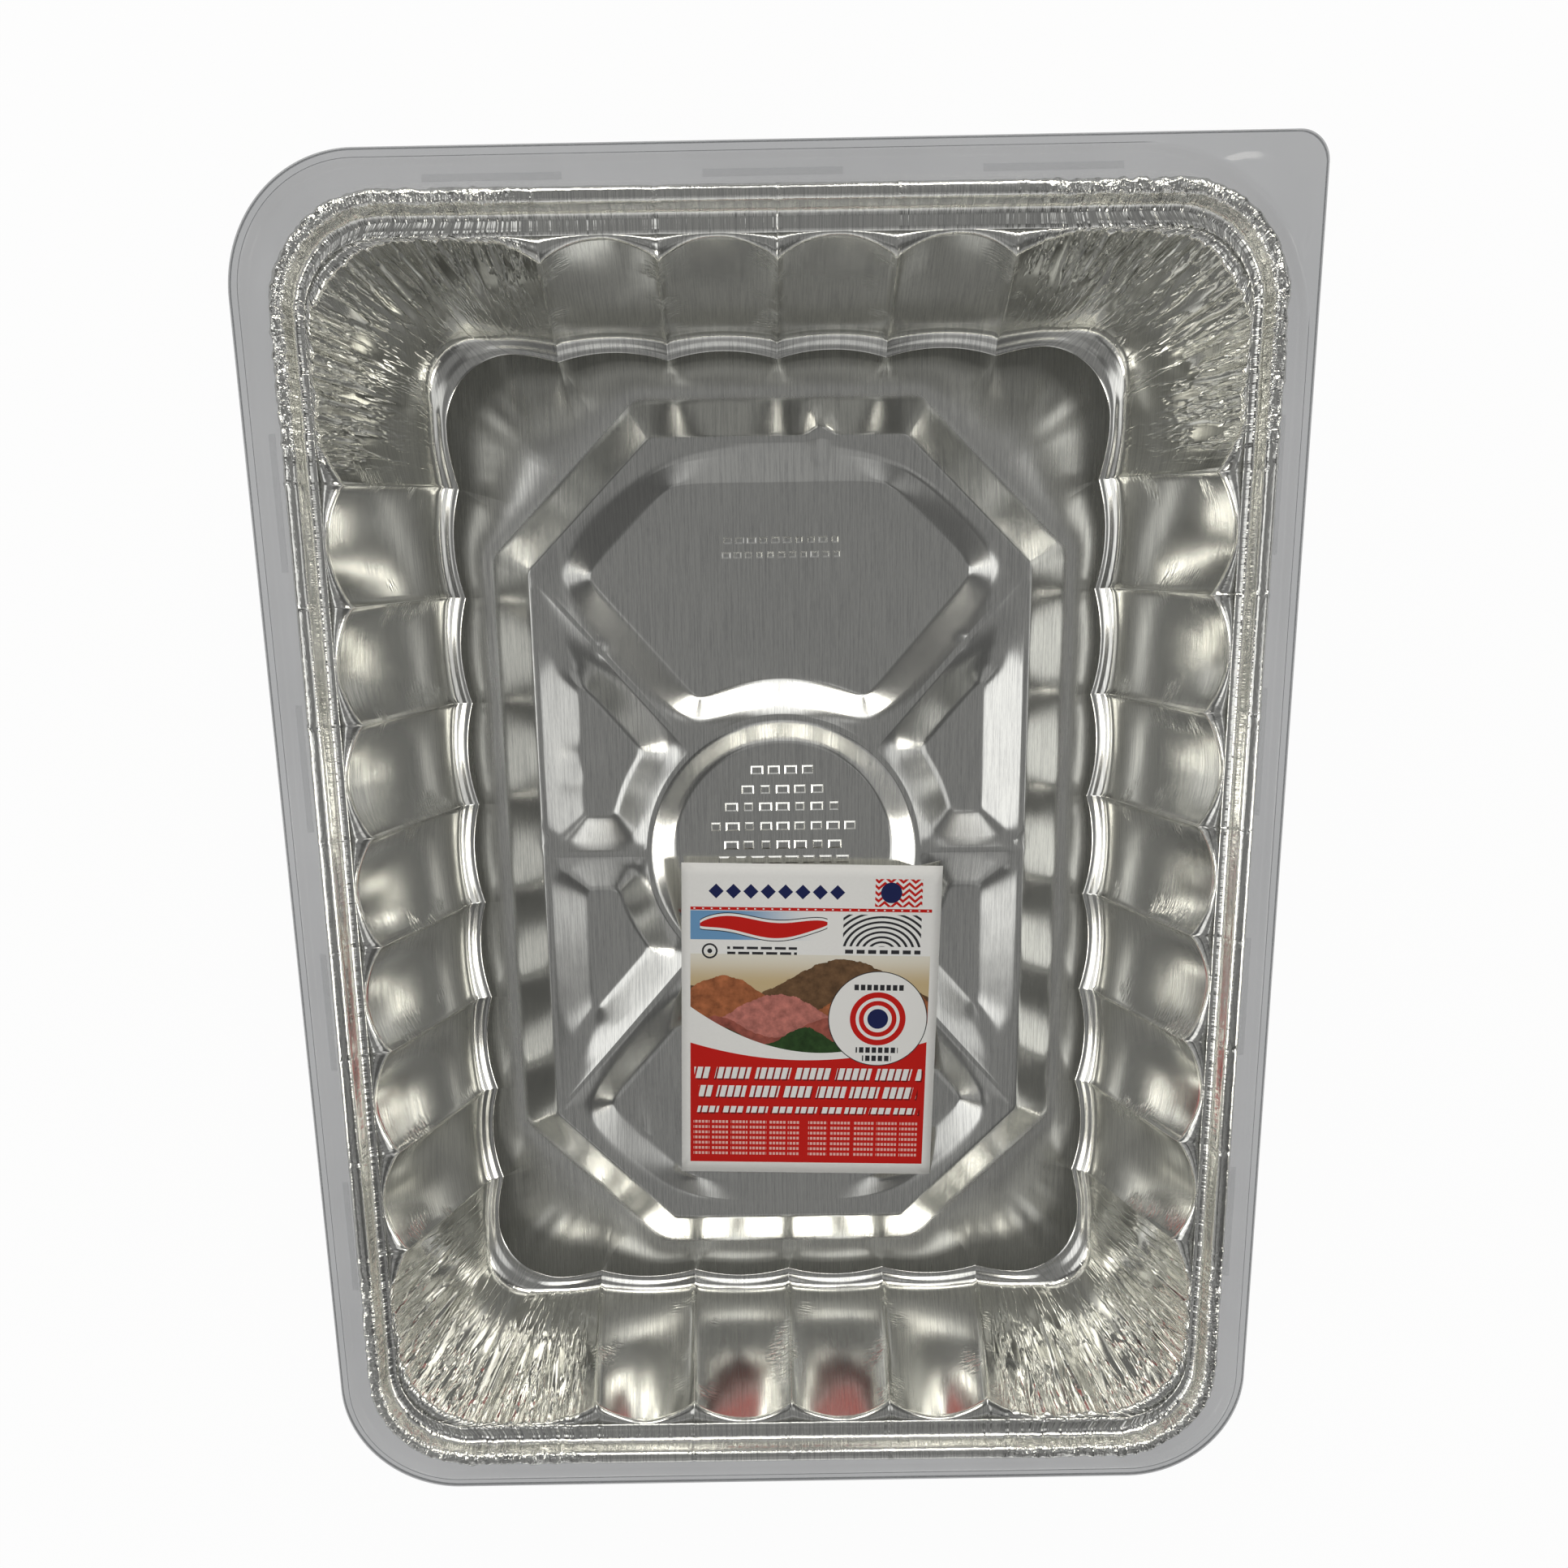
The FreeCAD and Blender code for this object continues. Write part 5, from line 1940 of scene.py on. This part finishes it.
@dataclass(frozen=True)
class Studio:
    """Pale floor, soft lamps and a plain room that is dim straight overhead."""

    floor_half: float = 3.0
    lamps: tuple[Softbox, ...] = (
        Softbox("key_far_left", (-0.38, 1.12, 0.74), (0.5, 0.42), 3.9, (1.0, 0.97, 0.9)),
        Softbox("key_far_right", (0.38, 1.12, 0.74), (0.5, 0.42), 3.9, (1.0, 0.97, 0.9)),
        Softbox("key_left", (-1.16, -0.3, 0.66), (0.5, 0.42), 3.4, (1.0, 0.97, 0.9)),
        Softbox("key_right", (1.16, -0.3, 0.66), (0.5, 0.42), 3.0, (1.0, 0.97, 0.9)),
    )
    pools: tuple[Pool, ...] = (
        Pool(180.0, 39.0, 12.0, 20.0, 0.95),
        Pool(0.0, 42.0, 11.0, 20.0, 0.6),
        Pool(90.0, 46.0, 7.0, 14.0, 1.0),
        Pool(270.0, 46.0, 12.0, 20.0, 0.2),
        Pool(270.0, 78.0, 12.0, 26.0, 0.4),
        Pool(225.0, 68.0, 12.0, 22.0, 0.22),
        Pool(135.0, 64.0, 8.0, 16.0, 0.12),
        Pool(45.0, 33.0, 8.0, 16.0, 0.07),
        Pool(62.0, 30.0, 2.0, 7.0, 0.25),
        Pool(240.0, 34.0, 2.0, 7.0, 0.25),
    )
    overhead: tuple[float, float, float] = (0.8, 0.93, 0.12)
    horizon: tuple[float, float, float] = (0.4, 0.08, 0.26)
    ambient: float = 0.09
    floor_colour: tuple[float, float, float, float] = (0.8, 0.8, 0.8, 1)
    floor_glow: float = 0.96

    def build(self) -> None:
        """Makes the floor, the lamps and the room."""
        size = self.floor_half
        mesh = bpy.data.meshes.new("floor")
        mesh.from_pydata([(-size, -size, 0), (size, -size, 0), (size, size, 0), (-size, size, 0)],
                         [], [(0, 1, 2, 3)])
        floor = bpy.data.objects.new("floor", mesh)
        floor.location = (0, 0, -0.0002)
        bpy.context.scene.collection.objects.link(floor)
        floor.data.materials.append(self.floor_material())
        for lamp in self.lamps:
            lamp.build()
        self.room()

    def seen(self, board: Board) -> Signal:
        """Which rays see the white background.

        Args:
            board: Board of the floor.

        Returns:
            One for rays from the camera, from metal and through plastic.
        """
        path = board.node("ShaderNodeLightPath", {}, {}, "Is Camera Ray")
        outputs = path.socket.node.outputs
        total = path + Signal(board, outputs["Is Glossy Ray"])
        return (total + Signal(board, outputs["Is Transmission Ray"])).math("MINIMUM", 1.0)

    def floor_material(self) -> bpy.types.Material:
        """Matt white floor that reads as white and keeps a light shadow.

        Returns:
            The material.
        """
        made, board, shader = new_material("floor")
        shader.inputs["Base Color"].default_value = self.floor_colour
        shader.inputs["Roughness"].default_value = 0.9
        glow = board.node("ShaderNodeEmission", {}, {"Color": (1, 1, 1, 1), "Strength": 1.0})
        surface, share = Signal(board, shader.outputs[0]), self.seen(board) * self.floor_glow
        mixed = board.node("ShaderNodeMixShader", {}, {0: share, 1: surface, 2: glow})
        board.feed(board.tree.nodes["Material Output"], {"Surface": mixed})
        return made

    def room(self) -> None:
        """The world: light all round, dim overhead, white to the camera."""
        world = bpy.data.worlds.new("room")
        bpy.context.scene.world = world
        world.use_nodes = True
        board = Board(world.node_tree)
        for node in list(world.node_tree.nodes):
            world.node_tree.nodes.remove(node)
        toward = board.node("ShaderNodeTexCoord", {}, {}, "Generated")
        _, _, up = board.split(toward)
        level = board.ramp(up, *self.overhead[:2]) * self.overhead[2]
        level = level + board.ramp(up, *self.horizon[:2]) * self.horizon[2] + self.ambient
        for pool in self.pools:
            level = level + pool.level(board, toward)
        light = board.node("ShaderNodeBackground", {}, {0: (1, 1, 1, 1), 1: level})
        white = board.node("ShaderNodeBackground", {}, {0: (1, 1, 1, 1), 1: 1.0})
        camera = board.node("ShaderNodeLightPath", {}, {}, "Is Camera Ray")
        mixed = board.node("ShaderNodeMixShader", {}, {0: camera, 1: light, 2: white})
        board.feed(world.node_tree.nodes.new("ShaderNodeOutputWorld"), {"Surface": mixed})


def main() -> None:
    """Builds the studio and the object, piece by piece."""
    logging.basicConfig(level=logging.INFO, format="%(message)s")
    bpy.context.scene.view_settings.view_transform = "Standard"
    Camera().build()
    Studio().build()
    pan = FoilPan()
    for piece in pan.build() + ClearLid().build() + LabelCard().build(pan):
        piece.data.calc_loop_triangles()
        LOG.info("%s: %d triangles", piece.name, len(piece.data.loop_triangles))


if __name__ == "__main__":
    main()
